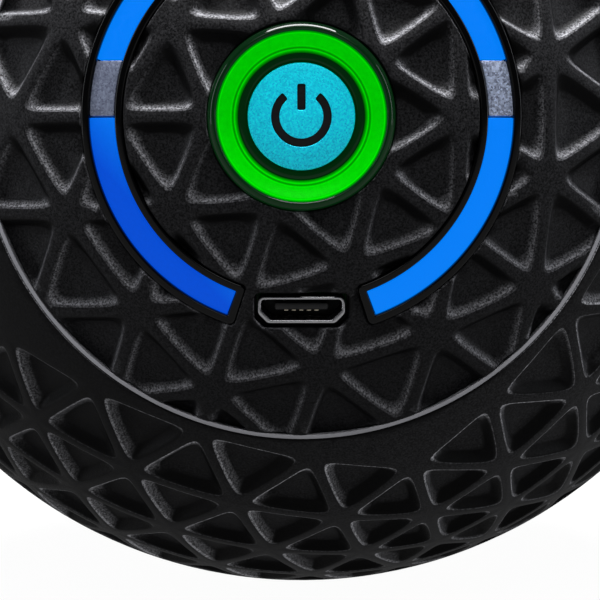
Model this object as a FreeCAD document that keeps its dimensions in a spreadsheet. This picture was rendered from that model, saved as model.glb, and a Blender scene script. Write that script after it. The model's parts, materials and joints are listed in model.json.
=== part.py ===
"""Vibrating massage ball, about 96 mm across, as a parametric FreeCAD document.

Everything is designed in a working frame: x to the right, y up, z out through the button.
turn_to_row() then turns each finished sub-part so that the button looks along -Y and +Z is up.
The origin is the centre of the ball.
"""
import FreeCAD, Part, Sketcher
import math
import os
import re

from FreeCAD import Placement, Rotation, Vector

doc = FreeCAD.newDocument("MassageBall")
sheet = doc.addObject("Spreadsheet::Sheet", "Dimensions")

# ---------------------------------------------------------------------------
# Driving dimensions, in millimetres and degrees
# ---------------------------------------------------------------------------
DIMENSIONS = {
    # ball and its shells
    "ball_radius": 48.0,
    "sleeve_thickness": 3.0,
    "wall_thickness": 2.5,
    "joint_overlap": 1.2,
    "tongue_width": 1.15,
    "joint_clearance": 0.1,
    # round opening at the front and the ring that traps the edge of the sleeve
    "opening_radius": 28.5,
    "ring_width": 0.4,
    "ring_foot_reach": 1.6,
    "ring_foot_height": 0.6,
    "ledge_top": 33.2,
    "ledge_thickness": 2.4,
    "ledge_inner_radius": 22.6,
    "cap_gap": 0.05,
    "cap_rim_inner_radius": 22.0,
    # button group
    "bezel_radius": 7.9,
    "bezel_bore": 7.17,
    "bezel_edge_round": 0.35,
    "bezel_shelf": 44.5,
    "bezel_lower_bore": 6.4,
    "bezel_bottom": 40.8,
    "bezel_snap_radius": 8.6,
    "bezel_snap_top": 41.6,
    "bezel_hole_radius": 8.0,
    "light_ring_outer": 7.12,
    "light_ring_inner": 5.41,
    "light_ring_high": 47.72,
    "light_ring_low": 46.95,
    "light_dish_radius": 2.6,
    "light_leg_outer": 6.3,
    "light_leg_bottom": 38.7,
    "guide_outer": 5.38,
    "guide_inner": 4.65,
    "guide_top": 46.5,
    "guide_bottom": 41.3,
    "button_radius": 4.53,
    "button_top": 47.45,
    "button_crown": 0.25,
    "button_face_thickness": 1.8,
    "button_skirt": 0.6,
    "button_bottom": 40.6,
    "button_lug_radius": 4.95,
    "button_lug_height": 0.5,
    "stem_radius": 1.4,
    "symbol_depth": 0.3,
    "symbol_cut_height": 4.0,
    "symbol_bar_share": 0.75,
    "symbol_radius": 2.05,
    "symbol_stroke": 0.5,
    "symbol_gap_angle": 70.0,
    "symbol_bar_length": 1.9,
    # push switch under the button
    "switch_side": 6.0,
    "switch_height": 2.5,
    "plunger_radius": 1.7,
    "plunger_clearance": 0.06,
    "plunger_top": 42.0,
    "plunger_bottom": 38.7,
    "switch_well_floor": 38.1,
    # indicator ring
    "arc_inner": 15.95,
    "arc_outer": 18.1,
    "arc_top_drop": 0.35,
    "arc_leg_inner": 16.6,
    "arc_leg_outer": 17.5,
    "arc_leg_bottom": 38.5,
    "arc_leg_top": 42.5,
    "leg_inset_angle": 4.0,
    "arc_seat_gap": 0.05,
    "window_inner": 16.45,
    "window_outer": 17.65,
    "window_inset_angle": 2.0,
    "frame_inner": 15.2,
    "frame_outer": 18.85,
    "frame_gap": 0.06,
    "ring_slot_extra_angle": 0.4,
    "frame_end_angle": 2.4,
    "bottom_gap_half_angle": 20.5,
    "spacer_angle": 16.5,
    "arc_joint_angle": 0.35,
    # charging socket
    "socket_below_axis": 16.5,
    "socket_width": 7.5,
    "socket_height": 2.3,
    "socket_corner_cut": 0.85,
    "socket_wall": 0.28,
    "socket_mouth": 44.7,
    "socket_margin": 0.22,
    "tongue_width_in_socket": 4.6,
    "tongue_height": 0.55,
    "tongue_drop": 0.35,
    "tongue_end": 43.9,
    "socket_base_thickness": 1.8,
    "contact_pitch": 0.65,
    "contact_embed": 0.2,
    "contact_setback": 0.3,
    "insulator_slip": 0.02,
    "contact_width": 0.36,
    "contact_thickness": 0.12,
    # control board
    "board_radius": 20.0,
    "board_thickness": 1.2,
    "board_slip": 0.1,
    "board_top": 37.2,
    "led_side": 2.0,
    "led_length": 1.4,
    "led_height": 0.8,
    "capacitor_length": 2.0,
    "capacitor_width": 1.2,
    "capacitor_height": 0.9,
    "indicator_led_radius": 17.05,
    "button_led_radius": 5.9,
    "post_radius": 2.2,
    "post_circle": 12.0,
    # motor, lying along x
    "motor_height": 12.0,
    "motor_radius": 12.0,
    "motor_half_length": 15.0,
    "can_wall": 1.2,
    "can_nose_cut": 10.0,
    "magnet_slip": 0.05,
    "end_cap_thickness": 2.4,
    "shaft_radius": 1.0,
    "shaft_half_length": 29.5,
    "shaft_clearance": 0.03,
    "bush_radius": 3.0,
    "bush_length": 4.0,
    "magnet_thickness": 2.3,
    "magnet_half_length": 9.0,
    "magnet_angle": 128.0,
    "armature_radius": 7.9,
    "armature_half_length": 6.6,
    "armature_slot_width": 1.4,
    "armature_slot_height": 6.0,
    "armature_slot_floor": 4.2,
    "winding_reach": 2.6,
    "winding_drop": 1.2,
    "winding_clearance": 1.0,
    "commutator_gap": 0.3,
    "commutator_radius": 2.6,
    "commutator_length": 2.2,
    "weight_radius": 11.0,
    "weight_thickness": 9.0,
    "weight_hub_radius": 3.2,
    "weight_start": 19.0,
    "terminal_reach": 2.4,
    "terminal_thickness": 0.5,
    "terminal_height": 2.2,
    "terminal_place": 8.0,
    # battery, lying along x
    "cell_radius": 9.1,
    "cell_half_length": 32.5,
    "cell_height": -15.2,
    "wrap_thickness": 0.15,
    "tray_wall": 1.4,
    "tray_half_length": 27.0,
    "tray_slack": 0.15,
    "strip_thickness": 0.3,
    "strip_length": 15.5,
    "strip_width": 3.0,
    "strip_place": 7.5,
    "foam_length": 12.0,
    "foam_width": 6.0,
    "foam_place": 18.0,
    # chassis
    "chassis_top": -2.4,
    "chassis_thickness": 2.0,
    "end_stop_thickness": 2.0,
    "end_stop_width": 12.0,
    "end_stop_height": 9.0,
    "wire_notch_length": 7.0,
    "wire_notch_width": 5.0,
    "wire_notch_place": 14.5,
    "chassis_half_length": 35.3,
    "chassis_half_width": 21.0,
    "saddle_place": 11.0,
    "saddle_thickness": 4.0,
    "saddle_half_width": 17.2,
    "saddle_slack": 0.1,
    "strap_thickness": 1.8,
    "strap_ear_height": 2.0,
    # screws and their bosses
    "shell_boss_place": 27.4,
    "shell_boss_radius": 3.6,
    "shell_boss_height": 14.0,
    "shell_well_radius": 2.6,
    "shell_well_floor": -6.0,
    "shell_screw_radius": 1.25,
    "shell_head_radius": 2.3,
    "shell_head_height": 1.8,
    "chassis_boss_x": 28.0,
    "chassis_boss_y": 17.6,
    "chassis_boss_radius": 3.1,
    "small_screw_radius": 1.0,
    "small_head_radius": 1.9,
    "small_head_height": 1.3,
    "cap_screw_circle": 25.2,
    "cap_boss_radius": 2.5,
    "cap_boss_bottom": 26.8,
    "cap_head_seat": 34.5,
    "cap_seat_slip": 0.2,
    "clamp_screw_place": 15.2,
    "shell_screw_length": 16.0,
    "base_screw_length": 8.0,
    "cap_screw_length": 6.5,
    "board_screw_length": 4.4,
    "clamp_screw_length": 7.0,
    "screw_slip": 0.15,
    "screw_slot_share": 1.3,
    "screw_slot_width": 0.45,
    # depths of holes and lengths of posts before they are trimmed
    "front_hole_depth": 11.0,
    "rear_post_length": 30.0,
    "rear_hole_depth": 12.0,
    "chassis_post_length": 32.0,
    "chassis_hole_depth": 9.0,
    "post_trim": 0.3,
    "post_embed": 0.8,
    "post_hole_depth": 4.0,
    "cap_hole_length": 10.0,
    # leads
    "lead_radius": 0.6,
    # cutters, which only have to reach past what they cut
    "cutter_start": 30.0,
    "cutter_end": 50.0,
    "cutter_long": 60.0,
    "ring_cutter_start": 35.0,
}

for row, (alias, size) in enumerate(DIMENSIONS.items(), start=1):
    sheet.set(f"A{row}", alias)
    sheet.set(f"B{row}", str(size))
    sheet.setAlias(f"B{row}", alias)
doc.recompute()

ALIAS = re.compile(r"\b(" + "|".join(sorted(DIMENSIONS, key=len, reverse=True)) + r")\b")
MOTOR_SIDES = (-1, 1)
CORNERS = [(sx, sy) for sx in (-1, 1) for sy in (-1, 1)]
THIRDS = (90, 210, 330)
TO_ROW = Rotation(Vector(1, 0, 0), 90)
sub_parts = []


# ---------------------------------------------------------------------------
# Helpers
# ---------------------------------------------------------------------------
def bound(formula):
    """A formula in aliases, written as FreeCAD's expression engine wants it."""
    return ALIAS.sub(r"Dimensions.\1", str(formula))


def size_of(formula):
    """The number that a formula in aliases comes to."""
    return float(sheet.evalExpression(bound(formula)))


def height_at(radius, across):
    """Formula for the height of a sphere about the ball's centre, at a distance from the axis."""
    return f"sqrt(({radius})^2 - ({across})^2)"


def bind(thing, **formulas):
    for name, formula in formulas.items():
        thing.setExpression(name, bound(formula))
    return thing


def move(thing, x="0", y="0", z="0"):
    for letter, formula in zip("xyz", (x, y, z)):
        thing.setExpression(f"Placement.Base.{letter}", bound(formula))
    return thing


def sub_part(thing, label, spin=0.0):
    """Label a finished sub-part, spin it about the button's axis and turn it to the row's frame."""
    if thing.TypeId in ("Part::Box", "Part::Cylinder"):
        thing = group(thing.Name + "_placed", [thing])
    thing.Label = label
    thing.Placement = Placement(Vector(0, 0, 0), TO_ROW * Rotation(Vector(0, 0, 1), spin))
    sub_parts.append(thing)
    return thing


def origin_plane(body, role):
    return next(f for f in body.Origin.OriginFeatures if f.Role == role)


def outline(body, name, corners, role="XZ_Plane", spin=0.0):
    """A closed, fully constrained sketch in a body.

    Each corner is (across, up), or (across, up, radius) if the edge that leaves it is an arc.
    A positive radius bulges to the left of the way from this corner to the next.
    """
    sketch = body.newObject("Sketcher::SketchObject", name)
    sketch.AttachmentSupport = (origin_plane(body, role), [""])
    sketch.MapMode = "FlatFace"
    sketch.AttachmentOffset = Placement(Vector(0, 0, 0), Rotation(Vector(0, 1, 0), spin))
    places = [Vector(size_of(c[0]), size_of(c[1]), 0) for c in corners]
    edges = []
    for i, corner in enumerate(corners):
        here, there = places[i], places[(i + 1) % len(corners)]
        if len(corner) == 2:
            edges.append((sketch.addGeometry(Part.LineSegment(here, there), False), 1, 2))
            continue
        radius = size_of(corner[2])
        half = (there - here) * 0.5
        left = Vector(-half.y, half.x, 0).normalize()
        drop = math.sqrt(max(radius**2 - half.Length**2, 0.0))
        centre = here + half - left * math.copysign(drop, radius)
        counter_clockwise = radius < 0
        first, last = (here, there) if counter_clockwise else (there, here)
        angles = [math.atan2(p.y - centre.y, p.x - centre.x) for p in (first, last)]
        circle = Part.Circle(centre, Vector(0, 0, 1), abs(radius))
        index = sketch.addGeometry(Part.ArcOfCircle(circle, *angles), False)
        edges.append((index, 1, 2) if counter_clockwise else (index, 2, 1))
    for i, (index, _, end) in enumerate(edges):
        following, start, _ = edges[(i + 1) % len(edges)]
        sketch.addConstraint(Sketcher.Constraint("Coincident", index, end, following, start))
    for i, corner in enumerate(corners):
        index, start, _ = edges[i]
        for kind, formula in (("DistanceX", corner[0]), ("DistanceY", corner[1])):
            number = sketch.addConstraint(
                Sketcher.Constraint(kind, -1, 1, index, start, size_of(formula))
            )
            sketch.setExpression(f"Constraints[{number}]", bound(formula))
        if len(corner) == 3:
            size = abs(size_of(corner[2]))
            number = sketch.addConstraint(Sketcher.Constraint("Radius", index, size))
            sketch.setExpression(f"Constraints[{number}]", bound(f"abs({corner[2]})"))
    return sketch


def turned(body, name, corners, sweep="360", cut=False, spin=0.0):
    """Turn an outline about the button's axis, to either side of its plane."""
    sketch = outline(body, name + "_outline", corners, spin=spin)
    kind = "PartDesign::Groove" if cut else "PartDesign::Revolution"
    feature = body.newObject(kind, name)
    feature.Profile = sketch
    feature.ReferenceAxis = (sketch, ["V_Axis"])
    feature.Midplane = True
    bind(feature, Angle=sweep)
    sketch.Visibility = False
    return feature


def new_body(name):
    return doc.addObject("PartDesign::Body", name + "_body")


def turned_body(name, corners, sweep="360"):
    body = new_body(name)
    turned(body, name + "_turned", corners, sweep)
    return body


def rod(name, radius, length, x="0", y="0", z="0", along="z"):
    """A cylinder that starts at (x, y, z) and runs along one axis of the working frame."""
    thing = doc.addObject("Part::Cylinder", name)
    bind(thing, Radius=radius, Height=length)
    turns = {
        "z": Rotation(),
        "x": Rotation(Vector(0, 1, 0), 90),
        "y": Rotation(Vector(1, 0, 0), -90),
    }
    thing.Placement = Placement(Vector(0, 0, 0), turns[along])
    return move(thing, x, y, z)


def block(name, length, width, height, x="0", y="0", z="0"):
    """A box whose footprint is centred on (x, y) and whose underside is at z."""
    thing = doc.addObject("Part::Box", name)
    bind(thing, Length=length, Width=width, Height=height)
    return move(thing, f"({x}) - ({length})/2", f"({y}) - ({width})/2", z)


def ball(name, radius):
    return bind(doc.addObject("Part::Sphere", name), Radius=radius)


def joined(name, pieces):
    thing = doc.addObject("Part::MultiFuse", name)
    thing.Shapes = pieces
    return thing


def shared(name, pieces):
    thing = doc.addObject("Part::MultiCommon", name)
    thing.Shapes = pieces
    return thing


def less(name, base, tools):
    thing = doc.addObject("Part::Cut", name)
    thing.Base = base
    thing.Tool = tools[0] if len(tools) == 1 else joined(name + "_tools", tools)
    return thing


def group(name, pieces):
    """Separate solids that share one node, such as a set of screws."""
    thing = doc.addObject("Part::Compound", name)
    thing.Links = pieces
    return thing


def on_circle(circle, angle):
    return f"({circle}) * cos({angle})", f"({circle}) * sin({angle})"


def screw(name, x, y, head_z, length, shank, head, head_height, up=True):
    """A pan-head screw along z. The shank runs up from the head's seat, or down from it."""
    if up:
        head_part = rod(name + "_head", head, head_height, x, y, f"({head_z}) - ({head_height})")
        shank_part = rod(name + "_shank", shank, length, x, y, head_z)
    else:
        head_part = rod(name + "_head", head, head_height, x, y, head_z)
        shank_part = rod(name + "_shank", shank, length, x, y, f"({head_z}) - ({length})")
    slot_length, slot_depth = f"({head}) * screw_slot_share", f"({head_height}) / 2"
    slot_z = f"({head_z}) - ({head_height})" if up else f"({head_z}) + ({head_height}) / 2"
    slots = [
        block(name + "_slot_a", slot_length, "screw_slot_width", slot_depth, x, y, slot_z),
        block(name + "_slot_b", "screw_slot_width", slot_length, slot_depth, x, y, slot_z),
    ]
    return less(name, joined(name + "_blank", [head_part, shank_part]), slots)


# ---------------------------------------------------------------------------
# Outer skin, front ring and shells
# ---------------------------------------------------------------------------
SLEEVE_INSIDE = "ball_radius - sleeve_thickness"
SHELL_INSIDE = "ball_radius - sleeve_thickness - wall_thickness"
RING_INSIDE = "opening_radius - ring_width"
CAP_EDGE = "opening_radius - ring_width - cap_gap"
LEDGE_BOTTOM = "ledge_top - ledge_thickness"


def outer_sleeve():
    """Soft ball cover: one stretched skin, open only at the front."""
    corners = [
        ("0", "-ball_radius", "-ball_radius"),
        ("opening_radius", height_at("ball_radius", "opening_radius")),
        ("opening_radius", height_at(SLEEVE_INSIDE, "opening_radius"), SLEEVE_INSIDE),
        ("0", f"-({SLEEVE_INSIDE})"),
    ]
    return sub_part(turned_body("outer_sleeve", corners), "outer_sleeve")


def sleeve_retaining_ring():
    """L-section ring: its wall edges the sleeve, and its foot is clamped by the front cap."""
    foot_inner = "opening_radius - ring_foot_reach"
    foot_top = "ledge_top + ring_foot_height"
    corners = [
        (foot_inner, "ledge_top"),
        ("opening_radius", "ledge_top"),
        ("opening_radius", height_at("ball_radius", "opening_radius")),
        (RING_INSIDE, height_at("ball_radius", RING_INSIDE)),
        (RING_INSIDE, foot_top),
        (foot_inner, foot_top),
    ]
    return sub_part(turned_body("sleeve_retaining_ring", corners), "sleeve_retaining_ring")


def front_shell():
    tongue_r = f"{SHELL_INSIDE} + tongue_width + joint_clearance"
    rebate = "joint_overlap + joint_clearance"
    corners = [
        (SLEEVE_INSIDE, "0", f"-({SLEEVE_INSIDE})"),
        ("opening_radius", height_at(SLEEVE_INSIDE, "opening_radius")),
        ("opening_radius", "ledge_top"),
        ("ledge_inner_radius", "ledge_top"),
        ("ledge_inner_radius", LEDGE_BOTTOM),
        (height_at(SHELL_INSIDE, LEDGE_BOTTOM), LEDGE_BOTTOM, SHELL_INSIDE),
        (height_at(SHELL_INSIDE, rebate), rebate),
        (tongue_r, rebate),
        (tongue_r, "0"),
    ]
    half = turned_body("front_shell", corners)
    bosses, holes = [], []
    for n, (sx, sy) in enumerate(CORNERS):
        place = {"x": f"{sx} * shell_boss_place", "y": f"{sy} * shell_boss_place"}
        bosses.append(rod(f"front_boss_{n}", "shell_boss_radius", "shell_boss_height", **place))
        holes.append(rod(f"front_boss_hole_{n}", "shell_screw_radius", "front_hole_depth", **place))
    for n, angle in enumerate(THIRDS):
        x, y = on_circle("cap_screw_circle", angle)
        deep = "ledge_top - cap_boss_bottom"
        bosses.append(rod(f"cap_boss_{n}", "cap_boss_radius", deep, x, y, "cap_boss_bottom"))
        holes.append(rod(f"cap_boss_hole_{n}", "small_screw_radius", f"{deep} - 1", x, y,
                         "cap_boss_bottom + 1"))
    shape = less("front_shell_drilled", joined("front_shell_bossed", [half, *bosses]), holes)
    return sub_part(shape, "front_shell")


def rear_shell():
    tongue_r = f"{SHELL_INSIDE} + tongue_width"
    corners = [
        ("0", f"-({SLEEVE_INSIDE})", f"-({SLEEVE_INSIDE})"),
        (SLEEVE_INSIDE, "0"),
        (tongue_r, "0"),
        (tongue_r, "joint_overlap"),
        (SHELL_INSIDE, "joint_overlap"),
        (SHELL_INSIDE, "0", SHELL_INSIDE),
        ("0", f"-({SHELL_INSIDE})"),
    ]
    half = turned_body("rear_shell", corners)
    posts, holes = [], []
    for n, (sx, sy) in enumerate(CORNERS):
        place = {"x": f"{sx} * shell_boss_place", "y": f"{sy} * shell_boss_place"}
        posts.append(rod(f"rear_boss_{n}", "shell_boss_radius", "rear_post_length",
                         z="-rear_post_length", **place))
        holes.append(rod(f"rear_boss_hole_{n}", "shell_screw_radius + screw_slip", "rear_hole_depth",
                         z="-rear_hole_depth", **place))
        holes.append(rod(f"rear_well_{n}", "shell_well_radius", "rear_post_length",
                         z="shell_well_floor - rear_post_length",
                         **place))
        place = {"x": f"{sx} * chassis_boss_x", "y": f"{sy} * chassis_boss_y"}
        top = "chassis_top - chassis_thickness"
        posts.append(rod(f"chassis_boss_{n}", "chassis_boss_radius", "chassis_post_length",
                         z=f"{top} - chassis_post_length", **place))
        holes.append(rod(f"chassis_boss_hole_{n}", "small_screw_radius", "chassis_hole_depth",
                         z=f"{top} - chassis_hole_depth", **place))
    trimmed = shared("rear_posts", [joined("rear_posts_long", posts),
                                    ball("rear_trim", f"{SLEEVE_INSIDE} - post_trim")])
    shape = less("rear_shell_drilled", joined("rear_shell_bossed", [half, trimmed]), holes)
    return sub_part(shape, "rear_shell")


# ---------------------------------------------------------------------------
# Front cap: carrier, textured pad, indicator ring
# ---------------------------------------------------------------------------
LOWER_ARC = "90 - bottom_gap_half_angle"
UPPER_ARC = "(180 - 3 * spacer_angle) / 2"
ARCS = {
    # name: (middle angle, sweep)
    "light_arc_lower_right": (f"-({LOWER_ARC}) / 2", LOWER_ARC),
    "light_arc_upper_right": (f"spacer_angle + ({UPPER_ARC}) / 2", UPPER_ARC),
    "light_arc_upper_left": (f"180 - spacer_angle - ({UPPER_ARC}) / 2", UPPER_ARC),
    "light_arc_lower_left": (f"180 + ({LOWER_ARC}) / 2", LOWER_ARC),
}
SPACER_MIDDLES = ("spacer_angle / 2", "90", "180 - spacer_angle / 2")
FRAME_SWEEP = "360 - 2 * bottom_gap_half_angle + 2 * frame_end_angle"


def socket_outline(margin):
    """D-shaped outline of the charging socket: wide at the top, lower corners cut off."""
    half_width = f"(socket_width / 2 + ({margin}))"
    top = f"(-socket_below_axis + socket_height / 2 + ({margin}))"
    bottom = f"(-socket_below_axis - socket_height / 2 - ({margin}))"
    return [
        (f"-{half_width}", top),
        (f"-{half_width}", f"{bottom} + socket_corner_cut"),
        (f"-{half_width} + socket_corner_cut", bottom),
        (f"{half_width} - socket_corner_cut", bottom),
        (half_width, f"{bottom} + socket_corner_cut"),
        (half_width, top),
    ]


def socket_prism(name, margin, start, length):
    """The socket's outline, run along z."""
    body = new_body(name)
    sketch = outline(body, name + "_outline", socket_outline(margin), role="XY_Plane")
    pad = body.newObject("PartDesign::Pad", name + "_pad")
    pad.Profile = sketch
    bind(pad, Length=length)
    sketch.Visibility = False
    return move(body, z=start)


def front_cap():
    """Rigid carrier under the front pad. It holds the button, the light arcs and the board."""
    foot_inner = "opening_radius - ring_foot_reach - cap_gap"
    foot_top = "ledge_top + ring_foot_height"
    corners = [
        ("bezel_hole_radius", height_at(SHELL_INSIDE, "bezel_hole_radius"), SHELL_INSIDE),
        ("cap_rim_inner_radius", height_at(SHELL_INSIDE, "cap_rim_inner_radius")),
        ("cap_rim_inner_radius", "ledge_top"),
        (foot_inner, "ledge_top"),
        (foot_inner, foot_top),
        (CAP_EDGE, foot_top),
        (CAP_EDGE, height_at(SLEEVE_INSIDE, CAP_EDGE), f"-({SLEEVE_INSIDE})"),
        ("bezel_hole_radius", height_at(SLEEVE_INSIDE, "bezel_hole_radius")),
    ]
    body = turned_body("front_cap", corners)
    for name, (middle, sweep) in ARCS.items():
        window = [("window_inner", "cutter_start"), ("window_outer", "cutter_start"),
                  ("window_outer", "cutter_end"), ("window_inner", "cutter_end")]
        turned(body, name + "_window", window, f"{sweep} - 2 * arc_joint_angle - window_inset_angle",
               cut=True, spin=size_of(middle))
    posts, holes = [], []
    for n, angle in enumerate(THIRDS):
        x, y = on_circle("post_circle", angle)
        reach = f"{height_at(SHELL_INSIDE, 'post_circle')} + post_embed - board_top"
        posts.append(rod(f"board_post_{n}", "post_radius", reach, x, y, "board_top"))
        holes.append(rod(f"board_post_hole_{n}", "small_screw_radius", "post_hole_depth", x, y,
                         "board_top"))
        x, y = on_circle("cap_screw_circle", angle)
        holes.append(rod(f"cap_screw_hole_{n}", "small_screw_radius + screw_slip", "cap_hole_length",
                         x, y, "cutter_start"))
        holes.append(rod(f"cap_screw_seat_{n}", "small_head_radius + cap_seat_slip", "cap_hole_length",
                         x, y, "cap_head_seat"))
    holes.append(socket_prism("cap_socket_hole", "socket_margin", "cutter_start",
                               "cutter_end - cutter_start"))
    shape = less("front_cap_drilled", joined("front_cap_posted", [body, *posts]), holes)
    return sub_part(shape, "front_cap")


def front_cap_pad():
    """Soft pad over the carrier, with openings for the button, the indicator ring and the socket."""
    corners = [
        ("bezel_hole_radius", height_at(SLEEVE_INSIDE, "bezel_hole_radius"), SLEEVE_INSIDE),
        (CAP_EDGE, height_at(SLEEVE_INSIDE, CAP_EDGE)),
        (CAP_EDGE, height_at("ball_radius", CAP_EDGE), "-ball_radius"),
        ("bezel_hole_radius", height_at("ball_radius", "bezel_hole_radius")),
    ]
    body = turned_body("front_cap_pad", corners)
    slot = [("frame_inner - frame_gap", "ring_cutter_start"),
            ("frame_outer + frame_gap", "ring_cutter_start"),
            ("frame_outer + frame_gap", "cutter_end"),
            ("frame_inner - frame_gap", "cutter_end")]
    turned(body, "pad_ring_slot", slot, f"{FRAME_SWEEP} + ring_slot_extra_angle", cut=True, spin=90)
    shape = less("front_cap_pad_cut", body, [
        socket_prism("pad_socket_hole", "socket_margin", "cutter_start",
                               "cutter_end - cutter_start")])
    return sub_part(shape, "front_cap_pad")


def indicator_frame():
    """C-shaped frame around the light arcs."""
    corners = [
        ("frame_inner", height_at(SLEEVE_INSIDE, "frame_inner"), SLEEVE_INSIDE),
        ("frame_outer", height_at(SLEEVE_INSIDE, "frame_outer")),
        ("frame_outer", height_at("ball_radius", "frame_outer"), "-ball_radius"),
        ("frame_inner", height_at("ball_radius", "frame_inner")),
    ]
    body = turned_body("indicator_frame", corners, FRAME_SWEEP)
    slot = [("arc_inner - frame_gap", "ring_cutter_start"),
            ("arc_outer + frame_gap", "ring_cutter_start"),
            ("arc_outer + frame_gap", "cutter_end"),
            ("arc_inner - frame_gap", "cutter_end")]
    turned(body, "frame_slot", slot, "360 - 2 * bottom_gap_half_angle", cut=True)
    return sub_part(body, "indicator_frame", spin=90)


def light_arcs():
    """Translucent bars of the indicator ring, each with a leg that reaches down to its LEDs."""
    top = "ball_radius - arc_top_drop"
    foot = f"{SLEEVE_INSIDE} + arc_seat_gap"
    for name, (middle, sweep) in ARCS.items():
        corners = [
            ("arc_inner", height_at(foot, "arc_inner"), foot),
            ("arc_outer", height_at(foot, "arc_outer")),
            ("arc_outer", height_at(top, "arc_outer"), f"-({top})"),
            ("arc_inner", height_at(top, "arc_inner")),
        ]
        body = turned_body(name, corners, f"{sweep} - 2 * arc_joint_angle")
        leg = [("arc_leg_inner", "arc_leg_bottom"), ("arc_leg_outer", "arc_leg_bottom"),
               ("arc_leg_outer", "arc_leg_top"), ("arc_leg_inner", "arc_leg_top")]
        turned(body, name + "_leg", leg, f"{sweep} - 2 * arc_joint_angle - leg_inset_angle")
        sub_part(body, name, spin=size_of(middle))


def indicator_spacers():
    """Three solid bars that part the light arcs."""
    top = "ball_radius - arc_top_drop"
    foot = f"{SLEEVE_INSIDE} + arc_seat_gap"
    bars = []
    for n, middle in enumerate(SPACER_MIDDLES):
        corners = [
            ("arc_inner", height_at(foot, "arc_inner"), foot),
            ("arc_outer", height_at(foot, "arc_outer")),
            ("arc_outer", height_at(top, "arc_outer"), f"-({top})"),
            ("arc_inner", height_at(top, "arc_inner")),
        ]
        bar = turned_body(f"indicator_spacer_{n}", corners, "spacer_angle - 2 * arc_joint_angle")
        bar.Placement = Placement(Vector(0, 0, 0), Rotation(Vector(0, 0, 1), size_of(middle)))
        bars.append(bar)
    return sub_part(group("indicator_spacer_set", bars), "indicator_spacers")


# ---------------------------------------------------------------------------
# Button group
# ---------------------------------------------------------------------------
def button_bezel():
    """Glossy ring around the button. Its flat face is the front of the whole ball."""
    corners = [
        ("bezel_lower_bore", "bezel_bottom"),
        ("bezel_snap_radius", "bezel_bottom"),
        ("bezel_snap_radius", "bezel_snap_top"),
        ("bezel_radius", "bezel_snap_top"),
        ("bezel_radius", "ball_radius - bezel_edge_round", "-bezel_edge_round"),
        ("bezel_radius - bezel_edge_round", "ball_radius"),
        ("bezel_bore", "ball_radius"),
        ("bezel_bore", "bezel_shelf"),
        ("bezel_lower_bore", "bezel_shelf"),
    ]
    return sub_part(turned_body("button_bezel", corners), "button_bezel")


def button_light_ring():
    """Dished light ring that falls towards the button, with a leg down to its LEDs."""
    corners = [
        ("light_ring_inner", "light_leg_bottom"),
        ("light_leg_outer", "light_leg_bottom"),
        ("light_leg_outer", "bezel_shelf"),
        ("light_ring_outer", "bezel_shelf"),
        ("light_ring_outer", "light_ring_high", "light_dish_radius"),
        ("light_ring_inner", "light_ring_low"),
    ]
    return sub_part(turned_body("button_light_ring", corners), "button_light_ring")


def button_guide():
    corners = [
        ("guide_inner", "guide_bottom"),
        ("guide_outer", "guide_bottom"),
        ("guide_outer", "guide_top"),
        ("guide_inner", "guide_top"),
    ]
    return sub_part(turned_body("button_guide", corners), "button_guide")


def power_symbol():
    """Generic power symbol: an open ring with a bar in its gap."""
    inner = "symbol_radius - symbol_stroke / 2"
    outer = "symbol_radius + symbol_stroke / 2"
    deep = "(button_top - symbol_depth)"
    corners = [(inner, deep), (outer, deep), (outer, "cutter_end"), (inner, "cutter_end")]
    ring = turned_body("power_ring", corners, "360 - symbol_gap_angle")
    ring.Placement = Placement(Vector(0, 0, 0), Rotation(Vector(0, 0, 1), 270))
    bar = block("power_bar", "symbol_stroke", "symbol_bar_length", "symbol_cut_height",
                y="symbol_radius * symbol_bar_share", z=deep)
    return [ring, bar]


def button_cap():
    """Crowned cap with a skirt, retaining lip and stem."""
    edge = "button_top - button_crown"
    under = "button_top - button_face_thickness"
    crown = "((button_radius)^2 + button_crown^2) / (2 * button_crown)"
    corners = [
        ("0", "plunger_top"),
        ("stem_radius", "plunger_top"),
        ("stem_radius", under),
        ("button_radius - button_skirt", under),
        ("button_radius - button_skirt", "button_bottom"),
        ("button_lug_radius", "button_bottom"),
        ("button_lug_radius", "button_bottom + button_lug_height"),
        ("button_radius", "button_bottom + button_lug_height"),
        ("button_radius", edge, f"-({crown})"),
        ("0", "button_top"),
    ]
    shape = less("button_cap_engraved", turned_body("button_cap", corners), power_symbol())
    return sub_part(shape, "button_cap")


def push_switch():
    """Surface-mounted push switch: housing and plunger."""
    housing = block("switch_block", "switch_side", "switch_side", "switch_height", z="board_top")
    well = rod("switch_well", "plunger_radius + plunger_clearance", "switch_height",
               z="switch_well_floor")
    sub_part(less("switch_housing_cut", housing, [well]), "switch_housing")
    plunger = rod("switch_plunger_rod", "plunger_radius", "plunger_top - plunger_bottom",
                  z="plunger_bottom")
    sub_part(plunger, "switch_plunger")


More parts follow.
